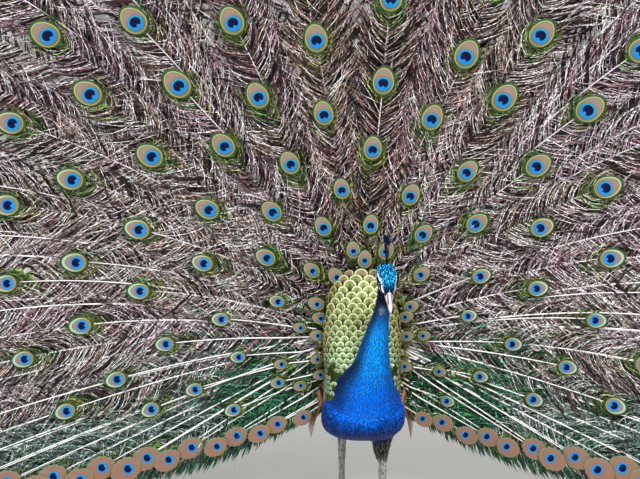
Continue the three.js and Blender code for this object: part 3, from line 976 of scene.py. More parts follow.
# ---------------------------------------------------------------- crest
# A fan of bare dark stalks stands on the crown, each with a small blue-black webbed tip. The
# stalks are feather shafts rooted in the skin, and only their tips carry barbs.
CREST_STALKS = 24
STALK_HALF = 0.00042
crest_share = np.linspace(-1, 1, CREST_STALKS)
lean = np.radians(60 + 17 * crest_share)
reach = 60 - 4 * np.abs(crest_share) + draw.normal(0, 1.2, CREST_STALKS)
root = np.stack([
    draw.normal(0, 0.7, CREST_STALKS), 22 + 3.5 * crest_share, 13.5 - 1.2 * crest_share ** 2], -1)
way = np.stack([draw.normal(0, 0.028, CREST_STALKS), np.sin(lean), np.cos(lean)], -1)
tip = root + way * (reach - 9)[:, None]
# Bare shafts of horn, with a faint shine that draws each one as a thin line.
stalk_finish = plumage("bare_crest_stalk", metallic=0.0, roughness=0.45)
steps = np.linspace(0, 1, 6)
lines = from_head(root[:, None] + (tip - root)[:, None] * steps[None, :, None])
sideways = np.tile(np.array(HEAD_TURN) @ np.array([0, 1.0, 0]), (CREST_STALKS, 1))
bake_at = unwrapped(from_head(root), np.full(CREST_STALKS, HEAD))
tint = np.tile(shade_of("#1c1a24"), (CREST_STALKS, 6, 1))
fledged("crest_stalks", lines, sideways, np.full((CREST_STALKS, 4), STALK_HALF), STALK_HALF, tint, bake_at,
        stalk_finish)
steps = np.linspace(0, 1, 7)
barbs = []
for fan in (-1.0, -0.6, -0.2, 0.2, 0.6, 1.0):
    turned = np.stack([way[:, 0], way[:, 1] * math.cos(fan * 0.5) + way[:, 2] * math.sin(fan * 0.5),
                       way[:, 2] * math.cos(fan * 0.5) - way[:, 1] * math.sin(fan * 0.5)], -1)
    start = tip - way * (4.5 - 2.5 * abs(fan))
    side_step = draw.normal(0, 0.9, CREST_STALKS)[:, None] * (1, 0, 0)
    reach_out = turned * 10.5 * draw.uniform(0.85, 1.1) + side_step
    barbs.append(from_head(start[:, None] + reach_out[:, None] * steps[None, :, None]))
lines = np.concatenate(barbs)
tint = mixed(draw.random(len(lines)), "#070b1e", "#122a62")[:, None] * np.ones((1, 7, 1))
crest = fledged("crest_tips", lines, np.tile(sideways, (6, 1)), np.full((len(lines), 5), 0.0010), 0.0004,
                tint, np.tile(bake_at, (6, 1)), blue_finish)
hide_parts("crest")


# ---------------------------------------------------------------- bill
# Two horny halves, the upper hooked over the lower, each a smooth shell over its solid. A slit
# nostril lies in a groove on each side of the ridge.

# Light gets a few millimetres into the horn, which rounds the bill softly, and growth marks about
# 4 mm wide keep it from looking like plastic.
horn_finish, tree = new_material("pale_bill_horn")
spot = add(tree, "ShaderNodeTexCoord")
streaks = add(tree, "ShaderNodeTexNoise", {
    "Vector": (spot, "Object"), "Scale": 260.0, "Detail": 4.0, "Roughness": 0.6})
worn = speckled(tree, streaks, 0.3, 0.7, 0.82, 1.08)
relief = add(tree, "ShaderNodeBump", {"Height": (streaks, "Fac"), "Strength": 0.2, "Distance": 0.0003})
surface = add(tree, "ShaderNodeBsdfPrincipled", {
    "Base Color": (worn, 0), "Roughness": 0.46, "Specular IOR Level": 0.4, "Coat Weight": 0.05,
    "Coat Roughness": 0.25, "Subsurface Weight": 0.08, "Subsurface Radius": (0.003, 0.002, 0.0015),
    "Normal": (relief, 0)})
add(tree, "ShaderNodeOutputMaterial", {"Surface": (surface, "BSDF")})


def smooth_copy(name, nodes, voxel, rounds, swell_by):
    """A closed smooth copy of solids, for horn and claw: the piece, its points and its normals."""
    bpy.ops.object.select_all(action="DESELECT")
    for node in nodes:
        copy = merged_copy(node, name)
        copy.select_set(True)
        bpy.context.view_layer.objects.active = copy
    if len(nodes) > 1:
        bpy.ops.object.join()
    piece = bpy.context.view_layer.objects.active
    piece.name = name
    remeshed(piece, voxel)
    found = points_of(piece.data)
    found = relaxed(found, edges_of(piece.data), np.full(len(found), 0.6), rounds)
    set_points(piece.data, found)
    facing = normals_of(piece.data)
    found = found + facing * swell_by
    set_points(piece.data, found)
    shaded_smooth(piece.data)
    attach(piece, "root")
    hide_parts(*nodes)
    return piece, found, facing


GROOVE_DEPTH = 0.0010
for node, base in (("bill_upper", "#cbbdca"), ("bill_lower", "#b2a4b0")):
    piece, found, facing = smooth_copy(node + "_shell", [node], voxel=0.0007, rounds=12, swell_by=0.0003)
    x, y, z = in_head(found).T
    tone = mixed(ramp(y, -32, -25), base, "#b8adb8")
    # A painted highlight: the ridge along the top of each half is near white.
    tone = mixed(0.7 * ramp(np.abs(x), 2.6, 0.8) * (z > -5), tone, "#f0e6ee")
    if node == "bill_upper":
        lores = ramp(np.abs(x) + 1.2 * (y + 27.5), -0.6, 0.6) * ramp(y, -35, -32)
        tone = mixed(lores, tone, "#070b18")
        groove = np.exp(-((np.abs(x) - 4.2) / 1.35) ** 2)
        groove = groove * ramp(y, -53, -48) * ramp(y, -29, -34) * ramp(z, -4.5, -2)
        found = found - facing * (GROOVE_DEPTH * groove)[:, None]
        set_points(piece.data, found)
        # Painted shade in the nostril and the groove round it.
        tone = mixed(groove, tone, "#2e2538")
    painted(piece.data, tone)
    piece.data.materials.append(horn_finish)


# ---------------------------------------------------------------- eyes
# Dark brown eyes, each a ball with a wide black pupil and a slightly bulging clear front. They
# are seated in the head behind the skin's lids, which close round them.

# The wet clear coat gives the one sharp highlight of the whole bird, and a very fine grain keeps
# the brown of the iris from being one flat tone.
CORNEA_BULGE = 0.035
for side, word in ((1, "left"), (-1, "right")):
    low, high = (np.array(c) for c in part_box("eye_" + word))
    centre = (low + high) / 2
    bpy.ops.object.select_all(action="DESELECT")
    bpy.ops.mesh.primitive_uv_sphere_add(
        segments=40, ring_count=28, radius=EYE_RADIUS, location=(0, 0, 0))
    ball = bpy.context.object
    ball.name = "eyeball_" + word
    gaze = Vector((side * 0.97, -0.22, 0.0))
    gaze = (HEAD_TURN @ gaze).normalized()
    found = points_of(ball.data)
    axial = found[:, 2] / EYE_RADIUS
    found = found * (1 + CORNEA_BULGE * ramp(axial, 0.78, 0.95))[:, None]
    turn = np.array(gaze.to_track_quat("Z", "Y").to_matrix())
    found = found @ turn.T + centre
    set_points(ball.data, found)
    radial = np.sqrt(np.maximum(0, 1 - axial ** 2))
    tone = mixed(ramp(radial, 0.30, 0.36), "#050404", "#4a2c18")
    tone = mixed(ramp(radial, 0.60, 0.68), tone, "#0e0907")
    painted(ball.data, tone)
    shaded_smooth(ball.data)
    eye_skin, tree = new_material("brown_iris_" + word)
    flecks = add(tree, "ShaderNodeTexNoise", {"Scale": 1500.0, "Detail": 2.0})
    worn = speckled(tree, flecks, 0.0, 1.0, 0.7, 1.3)
    surface = add(tree, "ShaderNodeBsdfPrincipled", {
        "Base Color": (worn, 0), "Roughness": 0.2, "Specular IOR Level": 0.4, "Coat Weight": 0.5,
        "Coat Roughness": 0.03})
    add(tree, "ShaderNodeOutputMaterial", {"Surface": (surface, "BSDF")})
    ball.data.materials.append(eye_skin)
    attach(ball, "root")
    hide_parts("eye_" + word)


# ---------------------------------------------------------------- legs and feet
# Bare grey-brown legs covered by overlapping horny plates, smaller on the toes, with dark blunt
# claws and a spur behind each shank.
LEG_X = 0.039
FOOT_Y = {"left": -0.0713 + body_shift.y, "right": 0.0837 + body_shift.y}
HOCK_Y = {"left": -0.066 + body_shift.y, "right": 0.090 + body_shift.y}
TOES = ("middle", "inner", "outer", "hind")
TOE_PLATE = 0.0052
SHANK_PLATE = 0.0064
TOE_PLATE_STEP = 0.0042
SHANK_ROWS = 27

# Dry horn, smoother than a feather: each plate has a soft highlight, and dark seams lie between.
plate_finish = plumage("horny_leg_plate", metallic=0.0, roughness=0.42, grain=0.2)
plates = []
for side, word in ((1, "left"), (-1, "right")):
    claws = [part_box("claw_%s_%s" % (word, toe)) for toe in TOES]
    claw_middle = [(np.array(a) + np.array(b)) / 2 for a, b in claws]
    foot_y, hock_y = FOOT_Y[word], HOCK_Y[word]
    heart = np.array([side * LEG_X, foot_y, 0.006])
    for tip in claw_middle:
        run = tip - heart
        length = np.linalg.norm(run[:2])
        ahead = unit(np.array([run[0], run[1], 0]))
        for k in range(int(length / TOE_PLATE_STEP) - 2):
            spot = heart + ahead * (0.010 + TOE_PLATE_STEP * k)
            for tilt in (-0.75, 0, 0.75):
                ray = unit(np.array([0, 0, 1.0]) + np.cross(ahead, [0, 0, 1]) * tilt)
                plates.append((spot, ray, ahead, TOE_PLATE))
    for k in range(SHANK_ROWS):
        share = k / (SHANK_ROWS - 1)
        spot = np.array([side * LEG_X, foot_y + (hock_y - foot_y) * share, 0.014 + 0.140 * share])
        for turn in np.radians([-126, -84, -42, 0, 42, 84, 126, 180]) + (0.36 if k % 2 else 0):
            ray = np.array([math.sin(turn), -math.cos(turn), 0])
            plates.append((spot, ray, np.array([0, 0, -1.0]), SHANK_PLATE))
seated = []
for spot, ray, way, size in plates:
    hit, out, face, _ = skin_tree.ray_cast(Vector(spot), Vector(ray), 0.02)
    if hit is None or part_of[corners[face, 0]] < SHANK_LEFT:
        continue
    seated.append((np.array(hit), np.array(out) * (1 if np.dot(out, ray) > 0 else -1), way, size))
spots, facing, ways, sizes = (np.array(column) for column in zip(*seated))
ways = unit(ways - dot(ways, facing)[:, None] * facing)
lines = laid(spots - ways * sizes[:, None] * 0.5, facing, ways, sizes * 1.25, 5, np.full(len(spots), 0.00055))
half = sizes[:, None] * np.array([0.42, 0.5, 0.44])[None]
tone = mixed(draw.random(len(spots)), "#7b7a70", "#a3a29c")
tint = tone[:, None] * np.array([0.5, 0.85, 1.0, 1.05, 0.8])[None, :, None]
part = np.full(len(spots), SHANK_LEFT)
for index in range(SHANK_LEFT, FOOT_RIGHT + 1):
    low, high = (np.array(c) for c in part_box(FLESH[index]))
    part[((spots >= low - 0.002) & (spots <= high + 0.002)).all(1)] = index
fledged("leg_plates", lines, facing, half, 0.0005, tint, unwrapped(spots, part), plate_finish)

# The claws are the bill's horn, grown darker: the same growth marks and the same soft glow.
claw_finish = horn_finish.copy()
claw_finish.name = "dark_claw_horn"
SPUR_POINT = 0.12              # width of a spur's tip as a share of its foot
for side, word in ((1, "left"), (-1, "right")):
    claws = ["claw_%s_%s" % (word, toe) for toe in TOES]
    piece, found, facing = smooth_copy("claws_" + word, claws, voxel=0.0006, rounds=8, swell_by=0.0004)
    painted(piece.data, mixed(ramp(found[:, 2], 0.001, 0.007), "#4a4540", "#2a2725"))
    piece.data.materials.append(claw_finish)
    bpy.ops.object.select_all(action="DESELECT")
    bpy.ops.mesh.primitive_cone_add(
        vertices=16, radius1=1, radius2=SPUR_POINT, depth=2, location=(0, 0, 0))
    spur = bpy.context.object
    spur.name = "spur_" + word
    bpy.ops.object.mode_set(mode="EDIT")
    bpy.ops.mesh.select_all(action="SELECT")
    bpy.ops.mesh.subdivide(number_cuts=5)
    bpy.ops.object.mode_set(mode="OBJECT")
    found = points_of(spur.data)
    share = (found[:, 2] + 1) / 2
    outward = np.linalg.norm(found[:, :2], axis=1) / (1 - (1 - SPUR_POINT) / 2 * (found[:, 2] + 1))
    ring = unit(found[:, :2]) * np.minimum(1, outward)[:, None]
    wide = 0.0040 * np.sqrt(np.maximum(1 - share, 0)) * (1 - 0.3 * share) + 0.0003
    spine = np.stack([
        side * (LEG_X - 0.009 * share ** 1.2), FOOT_Y[word] + 0.010 + 0.030 * share,
        0.056 + 0.0085 * share ** 2], -1)
    found = spine + np.stack([ring[:, 0] * wide, np.zeros(len(share)), ring[:, 1] * wide], -1)
    set_points(spur.data, found)
    shaded_smooth(spur.data)
    painted(spur.data, mixed(ramp(share, 0.3, 1.0), "#8d8879", "#4a433a"))
    spur.data.materials.append(claw_finish)
    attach(spur, "root")


# ---------------------------------------------------------------- train feathers
# 172 eyed feathers and 36 fish-tailed ones stand in one dished fan. Each has a white shaft that
# droops a little, and loose bronze barbs that cross their neighbours'. The short feathers stand
# in front of the long ones.
ROOT_WIDTH = 0.085
ROOT_HEIGHT = 0.140
FAN_DISH = 0.17
TRAIN_LENGTH = 1.07
COLUMN_SWEEP = 78.3            # degrees
COLUMN_STEP = 0.1402
COLUMN_SHIFT = 0.3505
RING_FIRST = 0.1128
RING_STEP = 0.0738
LAYER_DEPTH = 0.030            # short feathers stand this far in front of the longest
BARB_WIDTH = 0.0014            # drawn about three times the real width, so that it shows
BACK_BARB_WIDTH = 0.0072
FISHTAILS = 36


def fan_edge(s):
    """Angle of the fan's lower edge, in degrees, at a distance along the feathers."""
    s = np.asarray(s, float)
    return np.where(s < 0.5, 106 + 20 * np.exp(-s / 0.365), 111.1 - 17.5 * (s - 0.5))


# The eyes next to the body stand in no even rows: angle in degrees, distance from the root oval.
NEAR_EYES = [
    (-66, 0.021), (-73.5, 0.004), (-83, 0.003), (-95, 0.003), (-103.5, 0.002), (-80.5, 0.039), (-95.8, 0.075),
    (-48.5, 0.065), (-37, 0.023), (-8.8, 0.059), (3.2, 0.039), (22.5, 0.066), (68.2, 0.025), (83.5, 0.004),
    (84, 0.037), (73, 0.009), (98.8, 0.002), (98.8, 0.071), (54.2, 0.074), (-106.5, 0.046)]


def root_place(angle):
    """Offset across and up from the middle of the root oval to its rim at an angle in radians."""
    across = ROOT_WIDTH * np.sin(angle)
    up = ROOT_HEIGHT * np.cos(angle)
    reach = np.hypot(across, up)
    return ROOT_WIDTH * across / reach, ROOT_HEIGHT * up / reach


def fan_place(angle, s):
    """Point of the fan at an angle in radians and a distance out from the root oval."""
    across, up = root_place(angle)
    return np.stack([
        across + s * np.sin(angle), fan_plane_y - FAN_DISH * s * s, ROOT_Z + up + s * np.cos(angle)], -1)


def eyed_feathers():
    """(angle in degrees, distance of the eye from the root oval) of every eyed feather."""
    found = []
    for ring in range(-2, 13):
        for column in range(-11, 11):
            if (column + ring) % 2:
                continue
            sweep = COLUMN_SWEEP * math.sin(COLUMN_STEP * (column + COLUMN_SHIFT))
            start = RING_FIRST + RING_STEP * ring
            s = start + (0.1953 + 0.0993 * start) * (sweep / 84) ** 2
            angle = sweep * (1.5372 - 0.3979 * min(s, 0.75))
            if not 0.088 < s < 0.96 or abs(angle) > fan_edge(s) - 4:
                continue
            if abs(column + COLUMN_SHIFT) > 9 and s < 0.66:
                continue
            found.append((angle + draw.normal(0, 0.9), s + draw.normal(0, 0.006)))
    found += NEAR_EYES
    for side in (-1, 1):
        for step in range(20):
            s = 0.07 + 0.045 * step
            found.append((side * (float(fan_edge(s)) - 1.3 * (step % 2)), s + draw.normal(0, 0.004)))
    return np.array(found)


def at_edge(angle_deg, s):
    """Whether a feather is one of the row along the fan's lower edge."""
    return 0.06 < s and abs(angle_deg) > float(fan_edge(s)) - 1.5


def prisms(line, wide, deep):
    """Three-sided tapering blades. line: blades x stations x 3, wide: half-width vectors of all
    stations but the last, deep: the offset of the back edge. Each blade ends in a point."""
    count, stations = line.shape[0], line.shape[1]
    body = line[:, :-1]
    ring = np.stack([body - wide, body + wide, body + deep], 2)
    points = np.concatenate([ring.reshape(count, -1, 3), line[:, -1:]], 1)
    faces = [(0, 1, 2)]
    for k in range(stations - 2):
        for a in range(3):
            b = (a + 1) % 3
            low, high = 3 * k, 3 * k + 3
            faces += [(low + a, high + a, low + b), (low + b, high + a, high + b)]
    last, tip = 3 * (stations - 2), 3 * (stations - 1)
    faces += [(last + a, tip, last + (a + 1) % 3) for a in range(3)]
    each = tip + 1
    faces = np.array(faces)[None] + (np.arange(count) * each)[:, None, None]
    return points, faces.reshape(-1, 3), each


SHAFT_ARCH = 0.085


def shaft_line(angle, s_end, t):
    """Points of one shaft at shares t of its length. The side feathers arch a little, and the
    lowest ones are rooted higher on the oval and slant down to their places."""
    s = s_end * t
    at = fan_place(np.full_like(t, angle), s)
    low = max(0.0, abs(angle) - 1.43)
    raised = math.copysign(abs(angle) - 0.65 * low * float(ramp(s_end, 0.12, 0.4)), angle)
    step = np.array(root_place(raised)) - np.array(root_place(angle))
    at[:, 0] += step[0] * np.maximum(1 - t, 0)
    at[:, 2] += step[1] * np.maximum(1 - t, 0)
    arch = SHAFT_ARCH * abs(math.sin(angle)) * max(0.0, 1 - 2.2 * low)
    at[:, 2] += arch * s_end ** 2 * 4 * t * (1 - t)
    at[:, 1] -= LAYER_DEPTH * (1 - s_end / TRAIN_LENGTH) * np.minimum(1, t * 4)
    return at


FRONT = np.array([0.0, -1.0, 0.0])

# Tones of the loose barbs. Next to one another they turn the light differently, so a few dark,
# middling and light ones stand side by side. Gold and leaf green close round the eyes.
BARB_DARK = ["#150d0e", "#1f1516", "#2e2222", "#403230"]
BARB_MID = ["#806a6c", "#8a7778", "#948487", "#857b6e"]
BARB_LIGHT = ["#d2bfc8", "#e2d5de", "#fbf2fa", "#c4b5b0"]
BARB_GOLD = ["#6f7436", "#868848", "#4f6434", "#949058"]
BARB_GREEN = ["#1f4e38", "#2c6a4c", "#4a8a66", "#276048"]
BARB_LEAF = ["#3c5a22", "#4f7230", "#6f9648", "#3f6a3c"]
BARB_SEA = ["#48605a", "#7f9188", "#b6c4bc", "#5c7168"]
WARM_CAST = np.array([1.10, 0.92, 0.86])       # the barbs' tint at the top of the fan
PALE_CAST = np.array([2.56, 2.50, 2.62])       # and at its sides
MAUVE_CAST = np.array([1.06, 0.94, 1.06])      # the feathers lean to one or the other
OLIVE_CAST = np.array([0.98, 1.02, 0.88])


def palette(names):
    return np.array([linear(n)[:3] for n in names])


GRID = np.linspace(0, 1.06, 26)
FINE_GAP = 0.0048
BACK_GAP = 0.0095
HIDDEN = 0.46                  # barbs further below the eye than this are hidden, and sown thinly


def barbs_of(angle, s_end, eye_scale, fine, forked):
    """Centre lines of one feather's barbs: the fine ones, or the broad ones behind them that carry painted
    shade.
    A barb leaves the shaft steeply and curves round until it points outward along it. Those just
    below the eye close round it and meet beyond it."""
    gap = FINE_GAP if fine else BACK_GAP
    stop = max(s_end - (0.004 if forked else 0.021 * eye_scale), 0.006)
    visible = min(stop, HIDDEN)
    near = np.arange(stop, stop - visible, -gap)
    far = np.arange(stop - visible, 0.02, -2.2 * gap)
    close = np.zeros(0) if forked or not fine else stop - np.linspace(0, 0.034, 9) * eye_scale
    place = np.repeat(np.concatenate([near, far, close]), 2)
    count = len(place)
    side = np.tile([-1.0, 1.0], count // 2)
    place = np.clip(place + draw.uniform(-0.4, 0.4, count) * gap, 0.004, stop)
    t = place / s_end
    shaft = shaft_line(angle, s_end, GRID)
    at = np.stack([np.interp(t, GRID, shaft[:, k]) for k in range(3)], -1)
    ahead = np.stack([np.interp(t + 0.02, GRID, shaft[:, k]) for k in range(3)], -1)
    along = unit(ahead - at)
    across = unit(np.cross(np.broadcast_to(FRONT, along.shape), along)) * side[:, None]
    below = stop - place + (0.10 if forked else 0.0)
    hug = ramp(below, 0.050 * eye_scale, 0.030 * eye_scale)
    reach = np.clip(0.058 * eye_scale + 0.42 * below, 0, 0.105) * (0.45 + 0.55 * min(1, s_end / 0.45))
    reach *= np.clip(0.35 + place / 0.16, 0, 1) * draw.uniform(0.75, 1.18, count)
    reach = reach + hug * ((0.082 * draw.uniform(0.8, 1.1, count)) * eye_scale - reach)
    first = np.radians(draw.normal(60, 9, count) + 8 * hug)
    last = np.radians(draw.normal(6, 15, count) * (1 - 0.7 * hug) - 26 * hug)
    stations = 5 if fine else 3
    out = np.zeros((count, stations, 3))
    position = at + np.array([0, 1, 0]) * draw.normal(0, 0.0020, (count, 1))
    out[:, 0] = position
    for k in range(1, stations):
        share = (k - 0.5) / (stations - 1)
        turn = first + (last - first) * share
        way = along * np.cos(turn)[:, None] + across * np.sin(turn)[:, None]
        position = position + way * (reach / (stations - 1))[:, None]
        out[:, k] = position
    steps = np.linspace(0, 1, stations)
    droop = draw.uniform(0.2, 2.4, (count, 1))
    out[:, :, 2] -= (reach ** 2)[:, None] * steps[None] ** 2 * droop * (1 - hug[:, None])
    forward = draw.normal(-0.001 if fine else 0.004, 0.0055, (count, 1))
    out[:, :, 1] += forward * steps[None] - (0.0012 if fine else -0.0012)
    out[:, :, 2] = np.maximum(out[:, :, 2], 0.006)
    return out, across, below, t


feathers = eyed_feathers()
eye_scales = 0.60 + 0.40 * np.clip((feathers[:, 1] - 0.05) / 0.42, 0, 1)
eye_scales = eye_scales * (1 - 0.28 * ramp(np.abs(feathers[:, 0]), 45, 95))
fishtails = np.array([(fan_edge(1.0) * (-1 + (2 * i + 1) / FISHTAILS), 1.04) for i in range(FISHTAILS)])
SECTORS = 9
BLADES_PER_SECTOR = 2
MAP_TURN = 260                 # degrees of the fan that the width of its map covers
MAP_REACH = 1.15               # and the metres that its height covers

# The barbs are flat ribbons with barbules that flash as they turn. Flecks of about 5 mm, coarser
# than the real ones so that they show, break each barb into dark and bright lengths.
barb_finish, tree = new_material("loose_barb_keratin")
spot = add(tree, "ShaderNodeTexCoord")
flecks = add(tree, "ShaderNodeTexNoise", {"Vector": (spot, "Object"), "Scale": 210.0, "Detail": 1.0})
flecked = speckled(tree, flecks, 0.36, 0.64, 0.25, 1.85)
surface = add(tree, "ShaderNodeBsdfPrincipled", {
    "Base Color": (flecked, 0), "Roughness": 0.42, "Specular IOR Level": 0.4})
add(tree, "ShaderNodeOutputMaterial", {"Surface": (surface, "BSDF")})

dark, mid, light = palette(BARB_DARK), palette(BARB_MID), palette(BARB_LIGHT)
gold, leaf = palette(BARB_GOLD), palette(BARB_LEAF)
green, sea = palette(BARB_GREEN), palette(BARB_SEA)
groups = {sector: [] for sector in range(SECTORS)}
everything = [(a, s, e, False) for (a, s), e in zip(feathers, eye_scales)]
everything += [(a, s, 1.0, True) for a, s in fishtails]
everything.sort()
for index, (angle_deg, s_eye, eye_scale, is_fishtail) in enumerate(everything):
    angle = math.radians(angle_deg)
    low = np.clip((abs(angle_deg) - 84) / 22, 0, 1) * np.clip(1.5 - s_eye, 0.3, 1)
    depth = draw.uniform(-0.005, 0.005)
    cast = WARM_CAST + (PALE_CAST - WARM_CAST) * float(ramp(abs(angle_deg), 4, 48))
    cast = cast * (MAUVE_CAST if draw.random() < 0.5 else OLIVE_CAST)
    for fine in (False, True):
        line, across, below_eye, t = barbs_of(angle, s_eye, eye_scale, fine, is_fishtail)
        line[:, :, 1] += depth
        count = len(line)
        half = (BARB_WIDTH if fine else BACK_BARB_WIDTH) / 2
        roll = np.radians(draw.normal(0, 26, (count, 1)))
        spans = unit(line[:, 1] - line[:, 0])
        flat = unit(np.cross(spans, np.broadcast_to(FRONT, spans.shape)))
        flat = unit(flat * np.cos(roll) + FRONT * np.sin(roll))
        taper = np.linspace(1, 0.55, line.shape[1] - 1)
        if not fine:
            taper = np.array([0.6, 1.0])
        wide = flat[:, None] * (half * taper)[None, :, None]
        deep = np.broadcast_to(-FRONT * (0.0004 if fine else 0.0006), wide.shape)
        points, faces, each = prisms(line, wide, deep)
        pick = draw.random(count)
        choice = draw.integers(0, 4, count)
        if fine:
            colour = np.where((pick < 0.55)[:, None], mid[choice], light[choice])
            colour = np.where((pick < 0.2)[:, None], dark[choice], colour)
        else:
            # The broad barbs behind are dark all over: painted shade in the gaps between the fine barbs.
            colour = dark[choice] * 1.1
        colour = colour * cast
        near_eye = np.clip(1.25 - below_eye / 0.052, 0, 1)[:, None]
        golden = draw.random(count)[:, None] < near_eye * (0.95 if fine else 0.7)
        if fine:
            halo = np.where(draw.random((count, 1)) < 0.5, gold[choice], leaf[choice])
        else:
            halo = leaf[choice] * 0.6
        green_share = low * (0.45 + 0.55 * ramp(t * s_eye, 0.4, 0.1))
        greened = draw.random(count) < (1.0 if at_edge(angle_deg, s_eye) else green_share)
        rooted = (t * s_eye < 0.2)[:, None] if fine else True
        sea_green = np.where(rooted, green[choice], sea[choice]) * (1.0 if fine else 0.4)
        colour = np.where(greened[:, None], sea_green * draw.uniform(0.8, 1.5, (count, 1)), colour)
        colour = np.where(golden, halo, colour)
        colour = colour * draw.uniform(0.8, 1.2, (count, 1))
        root_u = 0.5 + angle_deg / MAP_TURN
        bake = np.stack([np.full(count, root_u) + 0.002 * (across[:, 0] > 0),
                         np.clip(t * s_eye / MAP_REACH, 0, 0.99)], -1)
        stations = np.concatenate([np.repeat(np.arange(line.shape[1] - 1), 3), [line.shape[1] - 1]])
        patch = np.stack([np.concatenate([np.tile([0, 1, 0.5], line.shape[1] - 1), [0.5]]),
                          stations / stations.max()], -1) * BAKE_PATCH
        bake = (bake[:, None] + patch[None]).reshape(-1, 2)
        glint = draw.choice([0.35, 0.65, 1.1, 2.6], (count, line.shape[1]))[:, stations]
        colour = np.minimum(colour[:, None] * glint[..., None], 0.9).reshape(-1, 3)
        groups[index * SECTORS // len(everything)].append((points.reshape(-1, 3), faces, colour, bake))


def gathered(name, parts, finish):
    """One object from parts, each its points, triangles, colours and bake UV."""
    points, faces, colours, bake = zip(*parts)
    offsets = np.cumsum([0] + [len(p) for p in points[:-1]])
    faces = np.concatenate([f + o for f, o in zip(faces, offsets)])
    piece = joined_mesh(name, np.concatenate(points), faces, np.concatenate(colours), np.concatenate(bake))
    piece.data.materials.append(finish)
    return piece


for sector, parts in groups.items():
    piece = gathered("train_barbs_%d" % (sector + 1), parts, barb_finish)
    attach(piece, "root")
    first = sector * BLADES_PER_SECTOR
    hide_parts(*["train_%02d" % (first + k + 1) for k in range(BLADES_PER_SECTOR)])


# The eyes of the train: flat close-barbed vanes, each ringed green, pale gold, bronze, bright
# blue and violet, the blue set toward the feather's foot. Their backs are plain brown. Places
# on an eye are in millimetres.
EYE_SPOKES = 30
EYE_RINGS = (0.22, 0.42, 0.6, 0.78, 0.9, 1.0)
EYE_MM = 0.001
VANE_LONG = 31.5               # half length and half width of an eye vane
VANE_WIDE = 25.8
VANE_MIDDLE = 6
MAP_MM = 100                   # millimetres that the vane's own map covers
spokes = np.arange(EYE_SPOKES) * 2 * math.pi / EYE_SPOKES


def eye_points(angle, s_end, scale, forward):
    """Points of one eye, their place on its vane in millimetres, and 1 for front, 0 for back."""
    shaft = shaft_line(angle, s_end, np.array([0.94, 1.0]))
    centre = shaft[1] + FRONT * forward
    along = unit(shaft[1] - shaft[0])
    across = unit(np.cross(FRONT, along))
    facing = unit(np.cross(along, across))
    if facing[1] > 0:
        facing = -facing
    ragged = 1 + 0.07 * np.where(np.arange(EYE_SPOKES) % 2, 1, -1) * draw.uniform(0.3, 1, EYE_SPOKES)
    vane = [np.zeros((1, 2)) + (VANE_MIDDLE, 0)]
    for share in EYE_RINGS:
        wide = share * (ragged if share == 1.0 else 1)
        point = np.clip(-np.cos(spokes), 0, 1) ** 6 * 4 * share
        tip = 1 + 0.10 * np.clip(np.cos(spokes), 0, 1) ** 2
        vane.append(np.stack([VANE_MIDDLE + VANE_LONG * wide * tip * np.cos(spokes) - point,
                              VANE_WIDE * wide * np.sin(spokes)], -1))
    front = np.concatenate(vane)
    back = np.concatenate([vane[-1], vane[0]])
    swell = 1 - ((front[:, 0] - VANE_MIDDLE) ** 2 / VANE_LONG ** 2 + front[:, 1] ** 2 / VANE_WIDE ** 2)
    flat = np.concatenate([front, back])
    lift = np.concatenate([1.4 * swell + 0.25, np.full(EYE_SPOKES, -0.25), [0.6]])
    points = centre + (flat[:, :1] * along + flat[:, 1:] * across + lift[:, None] * facing) * EYE_MM * scale
    return points, flat, np.concatenate([np.ones(len(front)), np.zeros(len(back))])


def ellipse(tree, a, b, centre, wide, high):
    """Distance from an ellipse's centre, 1 on its rim."""
    shifted = add(tree, "ShaderNodeMath", {0: a, 1: centre}, operation="SUBTRACT")
    x = add(tree, "ShaderNodeMath", {0: (shifted, 0), 1: wide}, operation="DIVIDE")
    y = add(tree, "ShaderNodeMath", {0: b, 1: high}, operation="DIVIDE")
    xx = add(tree, "ShaderNodeMath", {0: (x, 0), 1: (x, 0)}, operation="MULTIPLY")
    yy = add(tree, "ShaderNodeMath", {0: (y, 0), 1: (y, 0), 2: (xx, 0)}, operation="MULTIPLY_ADD")
    return add(tree, "ShaderNodeMath", {0: (yy, 0)}, operation="SQRT")


def painted_within(tree, distance, rim, soft, below, colour):
    """The colour inside a rim laid over what is below; each is a hex value or a (node, output)."""
    share = add(tree, "ShaderNodeMapRange", {
        "Value": (distance, 0), "From Min": rim - soft, "From Max": rim + soft, "To Min": 1.0, "To Max": 0.0},
        interpolation_type="SMOOTHSTEP")
    inner = linear(colour) if isinstance(colour, str) else colour
    return add(tree, "ShaderNodeMix", {0: (share, 0), "A": below, "B": inner}, data_type="RGBA")


def shifting(tree, outward, foot, tip, aside, share):
    """A colour that runs from the eye's foot to its tip, and becomes another at the fan's sides."""
    front = add(tree, "ShaderNodeMix", {
        0: (outward, 0), "A": linear(foot), "B": linear(tip)}, data_type="RGBA")
    return add(tree, "ShaderNodeMix", {
        0: share, "A": (front, "Result"), "B": linear(aside)}, data_type="RGBA")


# Colour made by the fine structure of the barbules, so it is pure, though the vane hardly shines.
# It shifts with the way the feather faces: gold in the middle of the fan, silver green at its sides.
eye_finish, tree = new_material("close_barbed_eye_vane")
vane_map = add(tree, "ShaderNodeUVMap", uv_map="vane")
spread = add(tree, "ShaderNodeVectorMath", {0: (vane_map, 0), 1: (MAP_MM, MAP_MM, 0)}, operation="MULTIPLY")
middle = add(tree, "ShaderNodeVectorMath", {
    0: (spread, 0), 1: (MAP_MM / 2, MAP_MM / 2, 0)}, operation="SUBTRACT")
split = add(tree, "ShaderNodeSeparateXYZ", {0: (middle, 0)})
a, b = (split, 0), (split, 1)
kind = add(tree, "ShaderNodeAttribute", attribute_name="tint")
kinds = add(tree, "ShaderNodeSeparateColor", {0: (kind, "Color")})
fray = add(tree, "ShaderNodeTexNoise", {"Vector": (middle, 0), "Scale": 0.9, "Detail": 2.0})
